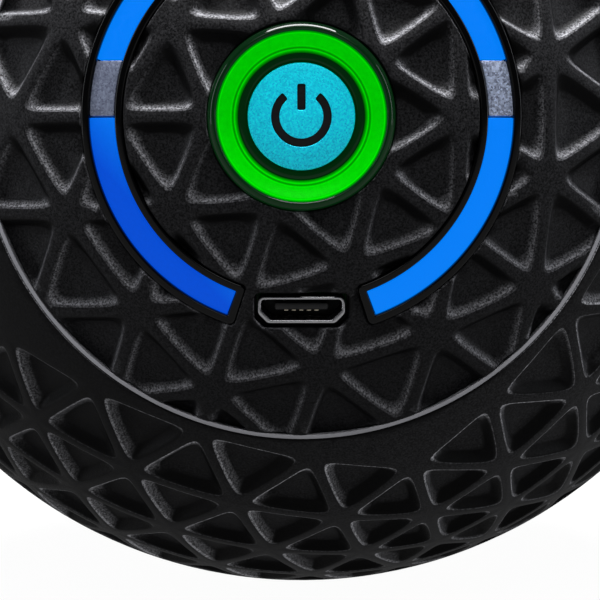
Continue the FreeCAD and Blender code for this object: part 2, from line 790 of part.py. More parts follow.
# ---------------------------------------------------------------------------
# Charging socket
# ---------------------------------------------------------------------------
def charging_socket():
    inside = "-socket_wall"
    shell = less("socket_shell_cut",
                 socket_prism("socket_outside", "0", "board_top", "socket_mouth - board_top"),
                 [socket_prism("socket_inside", inside, "board_top", "socket_mouth")])
    sub_part(shell, "socket_shell")
    base = socket_prism("socket_base", f"{inside} - insulator_slip", "board_top",
                        "socket_base_thickness")
    tongue_y = "-socket_below_axis + socket_height / 2 - socket_wall - tongue_drop"
    tongue_z = "board_top + socket_base_thickness - contact_embed"
    tongue = block("socket_tongue_bar", "tongue_width_in_socket", "tongue_height",
                   f"tongue_end - ({tongue_z})", y=f"{tongue_y} - tongue_height / 2", z=tongue_z)
    sub_part(joined("socket_insulator_joined", [base, tongue]), "socket_insulator")
    strips = []
    for n in range(-2, 3):
        strips.append(block(
            f"socket_contact_{n + 2}", "contact_width", "contact_thickness",
            "tongue_end - contact_setback - board_top - socket_base_thickness - contact_embed",
            x=f"{n} * contact_pitch",
            y=f"{tongue_y} - tongue_height - contact_thickness / 2",
            z="board_top + socket_base_thickness + contact_embed"))
    sub_part(group("socket_contact_set", strips), "socket_contacts")


# ---------------------------------------------------------------------------
# Control board and what sits on it
# ---------------------------------------------------------------------------
def control_board():
    blank = rod("board_blank", "board_radius", "board_thickness", z="board_top - board_thickness")
    holes = []
    for n, angle in enumerate(THIRDS):
        x, y = on_circle("post_circle", angle)
        holes.append(rod(f"board_hole_{n}", "small_screw_radius + board_slip", "3 * board_thickness",
                         x, y, "board_top - 2 * board_thickness"))
    return sub_part(less("board_drilled", blank, holes), "control_board")


def led(name, circle, angle):
    x, y = on_circle(circle, angle)
    thing = doc.addObject("Part::Box", name)
    bind(thing, Length="led_length", Width="led_side", Height="led_height")
    turn = Rotation(Vector(0, 0, 1), angle)
    corner = turn.multVec(Vector(-size_of("led_length / 2"), -size_of("led_side / 2"), 0))
    centre = Vector(size_of(x), size_of(y), size_of("board_top"))
    thing.Placement = Placement(centre + corner, turn)
    return thing


def leds():
    per_arc = 4
    lamps = []
    for name, (middle, sweep) in ARCS.items():
        for n in range(per_arc):
            angle = size_of(middle) + size_of(sweep) * ((n + 0.5) / per_arc - 0.5)
            lamps.append(led(f"{name}_led_{n}", "indicator_led_radius", angle))
    sub_part(group("indicator_led_set", lamps), "indicator_leds")
    lamps = [led(f"button_led_{n}", "button_led_radius", 45 + 90 * n) for n in range(4)]
    sub_part(group("button_led_set", lamps), "button_leds")


def board_components():
    """Chips, capacitors and wire headers on the underside of the board."""
    underside = "board_top - board_thickness"
    chips = {
        # name: (length, width, height, x, y)
        "controller_chip": ("7", "7", "1.0", "0", "2.5"),
        "charger_chip": ("4", "4", "0.9", "-5", "-13"),
        "motor_driver_chip": ("5", "4", "1.1", "5", "-13"),
        "battery_header": ("6", "4.6", "3.4", "11", "8.5"),
        "motor_header": ("6", "4.6", "3.4", "-11", "8.5"),
    }
    for name, (length, width, height, x, y) in chips.items():
        sub_part(block(name + "_block", length, width, height, x, y, f"{underside} - {height}"),
                 name)
    places = [("-6", "-3"), ("-6", "0"), ("6", "-3"), ("6", "0"), ("0", "-5"), ("0", "-8")]
    parts = [block(f"capacitor_{n}", "capacitor_length", "capacitor_width",
                   "capacitor_height", x, y, f"{underside} - capacitor_height")
             for n, (x, y) in enumerate(places)]
    sub_part(group("capacitor_set", parts), "board_capacitors")


# ---------------------------------------------------------------------------
# Vibration motor: the fixed half and the turning half
# ---------------------------------------------------------------------------
def motor_rod(name, radius, length, start):
    return rod(name, radius, length, x=start, z="motor_height", along="x")


def motor_tube(name, outer, inner, length, start):
    return less(name, motor_rod(name + "_outside", outer, length, start), [
        motor_rod(name + "_inside", inner, length, start)])


def motor_housing():
    reach = "motor_half_length"
    can = less("motor_can_cut", motor_rod("motor_can_blank", "motor_radius", f"2 * {reach} - 2",
                                          f"-{reach}"), [
        motor_rod("motor_can_bore", "motor_radius - can_wall", f"2 * {reach}",
                  f"-{reach} + can_wall"),
        motor_rod("motor_can_nose", "bush_radius", "can_nose_cut", f"-{reach} - can_nose_cut / 2"),
    ])
    sub_part(can, "motor_can")
    sub_part(motor_tube("motor_end_cap_ring", "motor_radius", "bush_radius", "end_cap_thickness",
                        f"{reach} - 2"), "motor_end_cap")
    bushes = []
    for side in MOTOR_SIDES:
        start = f"{side} * ({reach} - 0.5) - bush_length / 2"
        bushes.append(motor_tube(f"motor_bush_{side + 1}", "bush_radius",
                                 "shaft_radius + shaft_clearance", "bush_length", start))
    sub_part(group("motor_bush_pair", bushes), "motor_bushes")


def motor_magnets():
    """Two curved magnets against the inside of the can."""
    outer = "motor_radius - can_wall - magnet_slip"
    ring = motor_tube("magnet_ring", outer, f"{outer} - magnet_thickness",
                      "2 * magnet_half_length", "-magnet_half_length")
    gap = f"2 * ({outer}) * sin((180 - magnet_angle) / 2)"
    split = block("magnet_gap", "cutter_long", "cutter_long", gap, z=f"motor_height - ({gap}) / 2")
    return sub_part(less("magnet_pair", ring, [split]), "motor_magnets")


def motor_terminals():
    start = "motor_half_length - 2 + end_cap_thickness"
    tabs = [block(f"terminal_{side + 1}", "terminal_reach", "terminal_thickness",
                  "terminal_height",
                  x=f"{start} + terminal_reach / 2", y=f"{side} * terminal_place",
                  z="motor_height - terminal_height / 2")
            for side in MOTOR_SIDES]
    return sub_part(group("terminal_pair", tabs), "motor_terminals")


def motor_rotor():
    """Shaft, wound armature and commutator."""
    sub_part(motor_rod("motor_shaft_rod", "shaft_radius", "2 * shaft_half_length",
                       "-shaft_half_length"), "motor_shaft")
    reach = "armature_half_length"
    blank = motor_tube("armature_blank", "armature_radius", "shaft_radius", f"2 * {reach}",
                       f"-{reach}")
    slots = []
    for n in range(3):
        slot = doc.addObject("Part::Box", f"armature_slot_{n}")
        bind(slot, Length="cutter_long", Width="armature_slot_width", Height="armature_slot_height")
        turn = Rotation(Vector(1, 0, 0), 120 * n)
        corner = turn.multVec(Vector(-size_of("cutter_long / 2"), -size_of("armature_slot_width / 2"),
                                     size_of("armature_slot_floor")))
        slot.Placement = Placement(corner + Vector(0, 0, size_of("motor_height")), turn)
        slots.append(slot)
    sub_part(less("armature_slotted", blank, slots), "motor_armature")
    coils = []
    for side in MOTOR_SIDES:
        start = f"{reach}" if side > 0 else f"-{reach} - winding_reach"
        coils.append(motor_tube(f"winding_{side + 1}", "armature_radius - winding_drop",
                                "shaft_radius + winding_clearance", "winding_reach", start))
    sub_part(group("winding_pair", coils), "motor_windings")
    sub_part(motor_tube("commutator_tube", "commutator_radius", "shaft_radius",
                        "commutator_length", f"{reach} + winding_reach + commutator_gap"), "commutator")


def eccentric_weights():
    """Half-round steel weights on the shaft's ends. At rest their heavy side hangs down."""
    for side, name in zip(MOTOR_SIDES, ("eccentric_weight_left", "eccentric_weight_right")):
        start = "weight_start" if side > 0 else "-weight_start - weight_thickness"
        disc = motor_rod(name + "_disc", "weight_radius", "weight_thickness", start)
        lower = block(name + "_lower", "2 * cutter_long", "weight_radius * 2", "cutter_long",
                      y="-weight_radius", z="motor_height - cutter_long / 2")
        hub = motor_rod(name + "_hub", "weight_hub_radius", "weight_thickness", start)
        blank = joined(name + "_blank", [shared(name + "_half", [disc, lower]), hub])
        bore = motor_rod(name + "_bore", "shaft_radius", "weight_thickness", start)
        sub_part(less(name + "_bored", blank, [bore]), name)


# ---------------------------------------------------------------------------
# Chassis, straps and battery
# ---------------------------------------------------------------------------
PLATE_BOTTOM = "chassis_top - chassis_thickness"


def chassis():
    """Plate with two saddles for the motor and an end stop at each end of the cell."""
    plate = block("chassis_plate", "2 * chassis_half_length", "2 * chassis_half_width",
                  "chassis_thickness", z=PLATE_BOTTOM)
    pieces, holes = [plate], []
    for side in MOTOR_SIDES:
        pieces.append(block(f"saddle_{side + 1}", "saddle_thickness", "2 * saddle_half_width",
                            "motor_height - chassis_top", x=f"{side} * saddle_place",
                            z="chassis_top"))
        pieces.append(block(f"end_stop_{side + 1}", "end_stop_thickness", "end_stop_width",
                            "end_stop_height",
                            x=f"{side} * (chassis_half_length - end_stop_thickness / 2)",
                            z=f"{PLATE_BOTTOM} - end_stop_height"))
        holes.append(block(f"wire_notch_{side + 1}", "wire_notch_length", "wire_notch_width",
                           "2 * chassis_thickness", x=f"{side} * chassis_half_length",
                           y="wire_notch_place", z=f"{PLATE_BOTTOM} - chassis_thickness / 2"))
        for way in MOTOR_SIDES:
            holes.append(rod(f"strap_hole_{side + 1}_{way + 1}", "small_screw_radius",
                             "clamp_screw_length", f"{side} * saddle_place",
                             f"{way} * clamp_screw_place", "motor_height - clamp_screw_length"))
    for n, (sx, sy) in enumerate(CORNERS):
        holes.append(rod(f"chassis_hole_{n}", "small_screw_radius + screw_slip", "3 * chassis_thickness",
                         f"{sx} * chassis_boss_x", f"{sy} * chassis_boss_y",
                         f"{PLATE_BOTTOM} - chassis_thickness"))
    holes.append(motor_rod("saddle_bore", "motor_radius + saddle_slack", "cutter_long",
                           "-cutter_long / 2"))
    return sub_part(less("chassis_cut", joined("chassis_blank", pieces), holes), "chassis")


def motor_straps():
    """Two straps that hold the motor down on the saddles."""
    straps = []
    for side in MOTOR_SIDES:
        name = f"motor_strap_{side + 1}"
        start = f"{side} * saddle_place - saddle_thickness / 2"
        band = motor_rod(name + "_band", "motor_radius + saddle_slack + strap_thickness",
                         "saddle_thickness", start)
        ears = block(name + "_ears", "saddle_thickness", "2 * saddle_half_width",
                     "strap_ear_height", x=f"{side} * saddle_place", z="motor_height")
        upper = block(name + "_upper", "cutter_long", "cutter_long", "cutter_long", z="motor_height")
        holes = [motor_rod(name + "_bore", "motor_radius + saddle_slack", "cutter_long",
                           "-cutter_long / 2")]
        for way in MOTOR_SIDES:
            holes.append(rod(f"{name}_hole_{way + 1}", "small_screw_radius + screw_slip", "cutter_long",
                             f"{side} * saddle_place", f"{way} * clamp_screw_place",
                             "motor_height - 1"))
            holes.append(rod(f"{name}_seat_{way + 1}", "small_head_radius + screw_slip", "cutter_long",
                             f"{side} * saddle_place", f"{way} * clamp_screw_place",
                             "motor_height + strap_ear_height"))
        blank = joined(name + "_blank", [shared(name + "_arch", [band, upper]), ears])
        straps.append(less(name, blank, holes))
    return sub_part(group("motor_strap_pair", straps), "motor_straps")


def battery():
    """Round lithium cell in a plastic wrap, with welded strips, foam and a tray."""
    def cell_rod(name, radius, half_length):
        return rod(name, radius, f"2 * ({half_length})", x=f"-({half_length})", z="cell_height",
                   along="x")

    sub_part(cell_rod("cell_can", "cell_radius", "cell_half_length"), "battery_cell")
    wrap = less("cell_wrap_tube",
                cell_rod("cell_wrap_outside", "cell_radius + wrap_thickness",
                         "cell_half_length - 0.5"),
                [cell_rod("cell_wrap_inside", "cell_radius", "cell_half_length")])
    sub_part(wrap, "battery_wrap")
    strips = []
    for side in MOTOR_SIDES:
        middle = f"{side} * (cell_half_length + strip_thickness / 2)"
        strips.append(block(f"nickel_strip_{side + 1}", "strip_thickness", "strip_length",
                            "strip_width", x=middle, y="strip_place",
                            z="cell_height - strip_width / 2"))
    sub_part(group("nickel_strip_pair", strips), "battery_strips")
    outside = "cell_radius + wrap_thickness + tray_slack + tray_wall"
    inside = "cell_radius + wrap_thickness + tray_slack"
    below = block("tray_keep", "2 * tray_half_length", "cutter_long", "cutter_long",
                  z="cell_height - cutter_long")
    trough = shared("tray_trough", [cell_rod("tray_round", outside, "tray_half_length"), below])
    walls = block("tray_walls", "2 * tray_half_length", f"2 * ({outside})",
                  f"{PLATE_BOTTOM} - cell_height", z="cell_height")
    blank = joined("tray_blank", [trough, walls])
    hollow = [cell_rod("tray_bore", inside, "cutter_long"),
              block("tray_mouth", "2 * cutter_long", f"2 * ({inside})", "cutter_long", z="cell_height")]
    sub_part(less("tray_cut", blank, hollow), "battery_tray")
    pads = [block(f"foam_pad_{side + 1}", "foam_length", "foam_width",
                  f"{PLATE_BOTTOM} - cell_height - cell_radius - wrap_thickness",
                  x=f"{side} * foam_place", z="cell_height + cell_radius + wrap_thickness")
            for side in MOTOR_SIDES]
    sub_part(group("foam_pad_pair", pads), "battery_foam_pads")


# ---------------------------------------------------------------------------
# Screws
# ---------------------------------------------------------------------------
def screws():
    small = ("small_screw_radius", "small_head_radius", "small_head_height")
    shell = ("shell_screw_radius", "shell_head_radius", "shell_head_height")
    cap, board, shells, base, clamp = [], [], [], [], []
    for n, angle in enumerate(THIRDS):
        x, y = on_circle("cap_screw_circle", angle)
        cap.append(screw(f"cap_screw_{n}", x, y, "cap_head_seat", "cap_screw_length", *small,
                         up=False))
        x, y = on_circle("post_circle", angle)
        board.append(screw(f"board_screw_{n}", x, y, "board_top - board_thickness",
                           "board_screw_length", *small))
    for n, (sx, sy) in enumerate(CORNERS):
        shells.append(screw(f"shell_screw_{n}", f"{sx} * shell_boss_place",
                            f"{sy} * shell_boss_place", "shell_well_floor",
                            "shell_screw_length", *shell))
        base.append(screw(f"chassis_screw_{n}", f"{sx} * chassis_boss_x",
                          f"{sy} * chassis_boss_y", "chassis_top", "base_screw_length", *small,
                          up=False))
        clamp.append(screw(f"strap_screw_{n}", f"{sx} * saddle_place",
                           f"{sy} * clamp_screw_place", "motor_height + strap_ear_height",
                           "clamp_screw_length", *small, up=False))
    sub_part(group("cap_screw_set", cap), "cap_screws")
    sub_part(group("board_screw_set", board), "board_screws")
    sub_part(group("shell_screw_set", shells), "shell_screws")
    sub_part(group("chassis_screw_set", base), "chassis_screws")
    sub_part(group("strap_screw_set", clamp), "strap_screws")


# ---------------------------------------------------------------------------
# Leads, each held between two soldered or crimped ends
# ---------------------------------------------------------------------------
LEADS = {
    "battery_lead_positive": [(32.65, 15, -13.7), (32.65, 15, -5), (32.2, 16.2, 3), (28, 17.5, 13),
                              (21, 16.5, 22), (14, 11, 27.5), (12.5, 9.5, 30.4),
                              (12.5, 9.5, 32.6)],
    "battery_lead_negative": [(-32.65, 15, -13.7), (-32.65, 15, -5), (-32, 16.5, 3),
                              (-27, 19, 12), (-18, 20.5, 19.5), (-6, 19, 24), (4, 14.5, 26.5),
                              (9, 9, 28.4), (9.5, 8, 30.4), (9.5, 8, 32.6)],
    "motor_lead_positive": [(16.6, 8.25, 12), (16.6, 12.2, 12), (16.3, 14.6, 16), (12, 13, 22.5),
                            (3, 9.5, 27.4), (-6, 8, 28.4), (-9.5, 8.5, 30.4), (-9.5, 8.5, 32.6)],
    "motor_lead_negative": [(16.6, -8.25, 12), (16.6, -12.2, 12), (16.3, -14.2, 16),
                            (11, -11.5, 22.5), (2, -6, 27.6), (-7, 1, 28.6), (-12, 6.6, 28.6),
                            (-12.5, 8, 30.4), (-12.5, 8, 32.6)],
}


def rounded_path(points):
    """Straight runs joined by tangent arcs that are as large as the runs allow."""
    points = [Vector(*p) for p in points]
    edges, start, radii = [], points[0], []
    for before, here, after in zip(points, points[1:], points[2:]):
        towards = (before - here).normalize()
        away = (after - here).normalize()
        half_turn = (math.pi - towards.getAngle(away)) / 2
        reach = 0.45 * min((before - here).Length, (after - here).Length)
        radius = reach / math.tan(half_turn)
        radii.append(round(radius, 1))
        first, last = here + towards * reach, here + away * reach
        inward = (towards + away).normalize()
        middle = here + inward * (radius / math.cos(half_turn) - radius)
        edges.append(Part.LineSegment(start, first).toShape())
        edges.append(Part.Arc(first, middle, last).toShape())
        start = last
    edges.append(Part.LineSegment(start, points[-1]).toShape())
    return Part.Wire(edges), radii


def leads():
    radius = size_of("lead_radius")
    for name, points in LEADS.items():
        path, radii = rounded_path(points)
        way = path.Edges[0].tangentAt(path.Edges[0].FirstParameter)
        circle = Part.Wire(Part.Circle(Vector(*points[0]), way, radius).toShape())
        thing = doc.addObject("Part::Feature", name + "_tube")
        thing.Shape = path.makePipeShell([circle], True, True)
        share = thing.Shape.Volume / (math.pi * radius**2 * path.Length)
        print(f"{name}: {path.Length:.1f} mm, bends {radii} mm, volume share {share:.3f}")
        sub_part(thing, name)


# ---------------------------------------------------------------------------
# Build, test and write
# ---------------------------------------------------------------------------
def build():
    outer_sleeve()
    sleeve_retaining_ring()
    front_shell()
    rear_shell()
    front_cap()
    front_cap_pad()
    indicator_frame()
    light_arcs()
    indicator_spacers()
    button_bezel()
    button_light_ring()
    button_guide()
    button_cap()
    push_switch()
    charging_socket()
    control_board()
    leds()
    board_components()
    motor_housing()
    motor_magnets()
    motor_terminals()
    motor_rotor()
    eccentric_weights()
    chassis()
    motor_straps()
    battery()
    screws()
    leads()
    doc.recompute()


def test_and_write():
    for thing in doc.Objects:
        if "Invalid" in thing.State or "Error" in thing.State:
            raise RuntimeError(f"{thing.Name} failed: {thing.State}")
    os.makedirs("parts", exist_ok=True)
    for thing in sub_parts:
        shape = thing.Shape
        if shape.isNull() or not shape.isValid() or not shape.Solids:
            raise RuntimeError(f"{thing.Label} has no valid solid")
        shape.exportStep(os.path.join("parts", thing.Label + ".step"))
        box = shape.optimalBoundingBox()
        print(f"{thing.Label}: {len(shape.Solids)} solids, {shape.Volume:.0f} mm3, "
              f"x {box.XMin:.2f}..{box.XMax:.2f} y {box.YMin:.2f}..{box.YMax:.2f} "
              f"z {box.ZMin:.2f}..{box.ZMax:.2f}")


build()
test_and_write()
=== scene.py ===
"""Looks of the massage ball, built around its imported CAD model.

Shapes are worked out in a working frame in millimetres: x to the right, y up, z out through the
button, with the origin at the ball's centre. to_row() turns them to the row's frame, in metres.
"""
import json
import math

import bmesh
import bpy
import numpy as np
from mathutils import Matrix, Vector, geometry


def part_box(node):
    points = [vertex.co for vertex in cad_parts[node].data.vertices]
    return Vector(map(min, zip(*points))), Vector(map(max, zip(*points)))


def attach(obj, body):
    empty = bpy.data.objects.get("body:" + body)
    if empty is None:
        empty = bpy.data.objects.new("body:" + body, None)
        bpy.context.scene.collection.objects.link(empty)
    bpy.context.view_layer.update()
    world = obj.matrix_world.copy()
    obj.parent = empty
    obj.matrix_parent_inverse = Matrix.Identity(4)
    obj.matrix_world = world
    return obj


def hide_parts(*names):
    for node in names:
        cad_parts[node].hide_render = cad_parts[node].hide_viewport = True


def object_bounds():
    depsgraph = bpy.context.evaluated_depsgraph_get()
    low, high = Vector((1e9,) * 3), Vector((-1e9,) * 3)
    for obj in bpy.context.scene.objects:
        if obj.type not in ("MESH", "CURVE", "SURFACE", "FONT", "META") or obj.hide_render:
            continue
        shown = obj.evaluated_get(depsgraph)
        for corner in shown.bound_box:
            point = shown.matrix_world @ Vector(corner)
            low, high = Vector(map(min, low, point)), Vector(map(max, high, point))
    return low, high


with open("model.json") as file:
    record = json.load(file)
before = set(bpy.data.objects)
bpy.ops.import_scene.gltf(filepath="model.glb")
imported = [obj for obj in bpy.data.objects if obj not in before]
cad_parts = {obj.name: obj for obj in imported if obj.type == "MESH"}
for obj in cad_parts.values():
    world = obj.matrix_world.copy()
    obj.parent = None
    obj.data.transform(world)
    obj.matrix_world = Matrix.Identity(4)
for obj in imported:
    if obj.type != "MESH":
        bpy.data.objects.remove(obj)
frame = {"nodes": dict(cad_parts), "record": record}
cad_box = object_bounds()

MM = 0.001


# ==== Sizes that come from the frame, in working millimetres ====
def to_step(size):
    """A length read from the frame's facets, to the nearest twentieth of a millimetre."""
    return round(size / MM * 20) / 20


def radius_of(node):
    low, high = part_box(node)
    return to_step((high.x - low.x) / 2)


def front_of(node):
    return to_step(-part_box(node)[0].y)


def back_of(node):
    return to_step(-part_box(node)[1].y)


BALL = radius_of("outer_sleeve")
PAD_EDGE = radius_of("front_cap_pad")
RING_OUTER = 28.5
RING_INNER = PAD_EDGE + 0.05
RING_BOTTOM = back_of("sleeve_retaining_ring")
SKIN_INSIDE = BALL - 3.0
BEZEL = 7.9
BEZEL_BORE = 7.17
BEZEL_HOLE = BEZEL + 0.1
BEZEL_FRONT = front_of("button_bezel")
BEZEL_BACK = back_of("button_bezel")
LIGHT_OUTER = 7.12
LIGHT_INNER = 5.41
LIGHT_FRONT = front_of("button_light_ring")
LIGHT_BACK = back_of("button_light_ring")
LIGHT_SHELF = 44.5
GUIDE_OUTER = LIGHT_INNER - 0.03
GUIDE_INNER = 4.65
GUIDE_FRONT = front_of("button_guide")
GUIDE_BACK = back_of("button_guide")
BUTTON = 4.53
BUTTON_FRONT = front_of("button_cap")
BUTTON_CROWN = 0.25
BUTTON_SPHERE = (BUTTON ** 2 + BUTTON_CROWN ** 2) / (2 * BUTTON_CROWN)
BUTTON_SKIRT_END = back_of("button_cap")
BUTTON_LUG = radius_of("button_cap")
STEM_END = front_of("switch_plunger")
FRAME_INNER = 15.2
FRAME_OUTER = radius_of("indicator_frame")
ARC_INNER = 15.95
ARC_OUTER = 18.1
ARC_DROP = 0.35
ARC_CORNER = 0.12
RING_GAP_HALF_ANGLE = 20.5
RING_START = RING_GAP_HALF_ANGLE - 90
RING_END = 270 - RING_GAP_HALF_ANGLE
FRAME_END_ANGLE = 2.4
SPACER_ANGLE = 16.5
JOINT_ANGLE = 0.22
SLOT_GAP = 0.06
SOCKET_DOWN = 16.5
SOCKET_WIDTH = 7.5
SOCKET_HEIGHT = 2.3
SOCKET_CUT = 0.85
SOCKET_WALL = 0.28
SOCKET_STEP = 0.2
SOCKET_FRONT = front_of("socket_shell")
SOCKET_BACK = back_of("socket_shell")

# ==== Sizes of the moulded relief ====
FREQUENCY = 6
PAD_TURN = 36.0
SLEEVE_TURN = 0.0
CREST_HALF = 0.40
SLOPE_START = 0.60
SLOPE_END = 1.12
FLOOR_START = 1.38
POCKET_DEPTH = 1.0
CORNER_SOFTNESS = 1.8
EDGE_SHARES = (0.0, 0.07, 0.16, 0.29, 0.5, 0.71, 0.84, 0.93)
RING_LEVELS = (CREST_HALF, 0.54, 0.70, 1.14, FLOOR_START)
LIP = 0.16
CLEAR_OF_LIP = 0.12
EDGE_CLEAR_OF_LIP = 0.04
LOOP_STEP = 0.3
COARSE = 72
THINNEST = 2e-7


# ==== Small geometry helpers ====
def to_row(points):
    """Working millimetres to the row's frame, in metres."""
    return np.column_stack([points[:, 0], -points[:, 2], points[:, 1]]) * MM


def unit(vectors):
    return vectors / np.linalg.norm(vectors, axis=-1, keepdims=True)


def compass(turn):
    """Flat unit vectors at these angles."""
    return np.column_stack([np.cos(turn), np.sin(turn)])


def full_turn(count):
    """Angles of even steps round a circle."""
    return np.arange(count) * 2 * math.pi / count


def on_sphere(radius, flat):
    """Heights of a sphere over flat points."""
    return np.sqrt(radius ** 2 - (flat[:, 0] ** 2 + flat[:, 1] ** 2))


class Outline:
    """A closed flat loop, counter-clockwise, with the direction that leads out of it at each point."""

    def __init__(self, points):
        self.points = np.asarray(points, float)
        along = np.roll(self.points, -1, axis=0) - np.roll(self.points, 1, axis=0)
        self.out = unit(np.column_stack([along[:, 1], -along[:, 0]]))

    def grown(self, distance):
        return self.points + self.out * distance


def circle(radius, step=LOOP_STEP):
    count = COARSE * max(1, round(2 * math.pi * radius / step / COARSE))
    return Outline(radius * compass(full_turn(count)))


def rounded_corners(corners, radius, step):
    """Points round a polygon whose corners are arcs."""
    corners = np.asarray(corners, float)
    points = []
    for n, corner in enumerate(corners):
        before = unit(corners[n - 1] - corner)
        after = unit(corners[(n + 1) % len(corners)] - corner)
        half = math.acos(np.clip(before @ after, -1, 1)) / 2
        run = radius / math.tan(half)
        middle = corner + unit(before + after) * radius / math.sin(half)
        start = corner + before * run - middle
        sweep = math.pi - 2 * half
        bend = np.sign(before[1] * after[0] - before[0] * after[1])
        pieces = max(4, round(radius * sweep / step))
        for k in range(pieces + 1):
            turn = bend * sweep * k / pieces
            points.append(middle + [start[0] * math.cos(turn) - start[1] * math.sin(turn),
                                    start[0] * math.sin(turn) + start[1] * math.cos(turn)])
    filled = []
    for here, there in zip(points, points[1:] + points[:1]):
        pieces = max(1, round(np.linalg.norm(there - here) / step))
        filled += [here + (there - here) * k / pieces for k in range(pieces)]
    return np.array(filled)


def sector(inner, outer, start, end, radius, step=LOOP_STEP, spare=0.0, level_end=None):
    """Outline of a curved bar between two radii and two angles in degrees, with rounded corners.

    The end at the angle level_end is cut along the x axis's direction, and not towards the centre.
    """
    middle = (inner + outer) / 2
    first = math.radians(start) * middle - spare
    last = math.radians(end) * middle + spare
    bar = rounded_corners([(first, inner), (last, inner), (last, outer), (first, outer)], radius, step)
    turn = bar[:, 0] / middle
    if level_end is not None:
        angle = math.radians(level_end)
        cut = np.arcsin(math.sin(angle) * middle / bar[:, 1])
        cut = cut if level_end < 90 else math.pi - cut
        turn = turn + (cut - angle) * (1 - np.abs(turn - angle) / math.radians(end - start))
    curved = bar[:, 1, None] * compass(turn)
    return Outline(curved[::-1])


def socket_outline(margin, radius, lower=0.0):
    """Outline of the charging socket: straight at the top, with its lower corners cut off."""
    half = SOCKET_WIDTH / 2 + margin
    top = -SOCKET_DOWN + SOCKET_HEIGHT / 2 + margin
    bottom = -SOCKET_DOWN - SOCKET_HEIGHT / 2 - margin - lower
    corners = [(-half, top), (-half, bottom + SOCKET_CUT), (-half + SOCKET_CUT, bottom),
               (half - SOCKET_CUT, bottom), (half, bottom + SOCKET_CUT), (half, top)]
    return Outline(rounded_corners(corners, radius, SOCKET_STEP))


def upright(left, right, low, high, radius, step):
    """Outline of an upright rectangle with rounded corners."""
    return Outline(rounded_corners([(left, low), (right, low), (right, high), (left, high)], radius, step))


def within(loop, points):
    """Which flat points lie inside a closed flat loop."""
    x, y = points[:, 0, None], points[:, 1, None]
    x0, y0 = loop[:, 0], loop[:, 1]
    x1, y1 = np.roll(loop, -1, axis=0).T
    crosses = (y0 > y) != (y1 > y)
    rise = np.where(y1 == y0, 1.0, y1 - y0)
    return (crosses & (x < x0 + (y - y0) * (x1 - x0) / rise)).sum(axis=1) % 2 == 1


def distance_to(loop, points):
    """Distance from flat points to a closed flat loop."""
    start, step = loop, np.roll(loop, -1, axis=0) - loop
    best = np.full(len(points), np.inf)
    for a, d in zip(start, step):
        share = np.clip(((points - a) @ d) / (d @ d), 0, 1)
        best = np.minimum(best, np.hypot(*(points - a - share[:, None] * d).T))
    return best


def clearance(points, bounds):
    """How far points are within the bounds, seen along the button's axis; less than 0 if they aren't."""
    flat = points[:, :2]
    room = np.full(len(points), np.inf)
    for loop, sign in bounds:
        away = distance_to(loop, flat)
        room = np.minimum(room, np.where(within(loop, flat) == (sign < 0), away, -away))
    return room


def signed(loops):
    """Each loop with -1 if it is the first, the outer one, and with 1 if it is a hole in that."""
    return [(loop, -1 if n == 0 else 1) for n, loop in enumerate(loops)]


def triangulate(flat, edges, bounds):
    """Delaunay triangles of flat points that keep the edges and lie within the bounds."""
    _, _, faces, origins, _, _ = geometry.delaunay_2d_cdt(
        [Vector(p) for p in flat], [tuple(map(int, e)) for e in edges], [], 0, 1e-7, True)
    index = np.array([o[0] if o else -1 for o in origins])
    triangles = index[np.array(faces, int).reshape(-1, 3)]
    triangles = triangles[(triangles >= 0).all(axis=1)]
    a, b, c = flat[triangles].transpose(1, 0, 2)
    doubled = (b[:, 0] - a[:, 0]) * (c[:, 1] - a[:, 1]) - (b[:, 1] - a[:, 1]) * (c[:, 0] - a[:, 0])
    triangles = triangles[np.abs(doubled) > THINNEST]
    middles = flat[triangles].mean(axis=1)
    keep = np.ones(len(middles), bool)
    for loop, sign in bounds:
        keep &= within(loop, middles) == (sign < 0)
    return triangles[keep]


def loop_edges(start, count):
    index = np.arange(count)
    return np.column_stack([start + index, start + (index + 1) % count])


def strip(lower, upper):
    """Triangles between two closed loops with the same number of points."""
    count = len(lower)
    here, there = loop_edges(0, count).T
    faces = np.vstack([np.column_stack([here, there, there + count]),
                       np.column_stack([here, there + count, here + count])])
    return np.vstack([lower, upper]), faces


def walls(loops):
    """Strips of triangles from each closed loop to the next."""
    return [strip(lower, upper) for lower, upper in zip(loops, loops[1:])]


def with_height(flat, heights):
    return np.column_stack([flat, np.broadcast_to(heights, len(flat))])


def patch(loops, spots=np.empty((0, 3))):
    """A sheet within closed loops, of which the first is the outer one, with any extra points inside."""
    points = np.vstack([*loops, spots])
    starts = np.cumsum([0] + [len(loop) for loop in loops])
    edges = np.vstack([loop_edges(start, len(loop)) for start, loop in zip(starts, loops)])
    return points, triangulate(points[:, :2], edges, signed([loop[:, :2] for loop in loops]))


def polar_spots(bounds, step, surface):
    """Points of a surface on rings about the axis, well within the bounds."""
    reach = np.linalg.norm(bounds[0][0], axis=1).max()
    spots = [(0.0, 0.0)]
    for ring in np.arange(step, reach, step):
        count = max(6, round(2 * math.pi * ring / step))
        spots += list(ring * compass(full_turn(count)))
    spots = np.array(spots)
    spots = spots[clearance(spots, bounds) > 0.6 * step]
    return with_height(spots, surface(spots))


def rounded_edge(outline, sign, top_loop, lip, bottom, count=3):
    """Strips from a top loop over a rounded edge and down the wall to the bottom heights."""
    loops = [top_loop]
    for k in range(1, count + 1):
        turn = math.pi / 2 * k / count
        flat = outline.grown(sign * lip * (1 - math.sin(turn)))
        loops.append(with_height(flat, top_loop[:, 2] - lip * (1 - math.cos(turn))))
    foot = with_height(outline.points, bottom(outline.points))
    return walls([*loops, foot]), foot


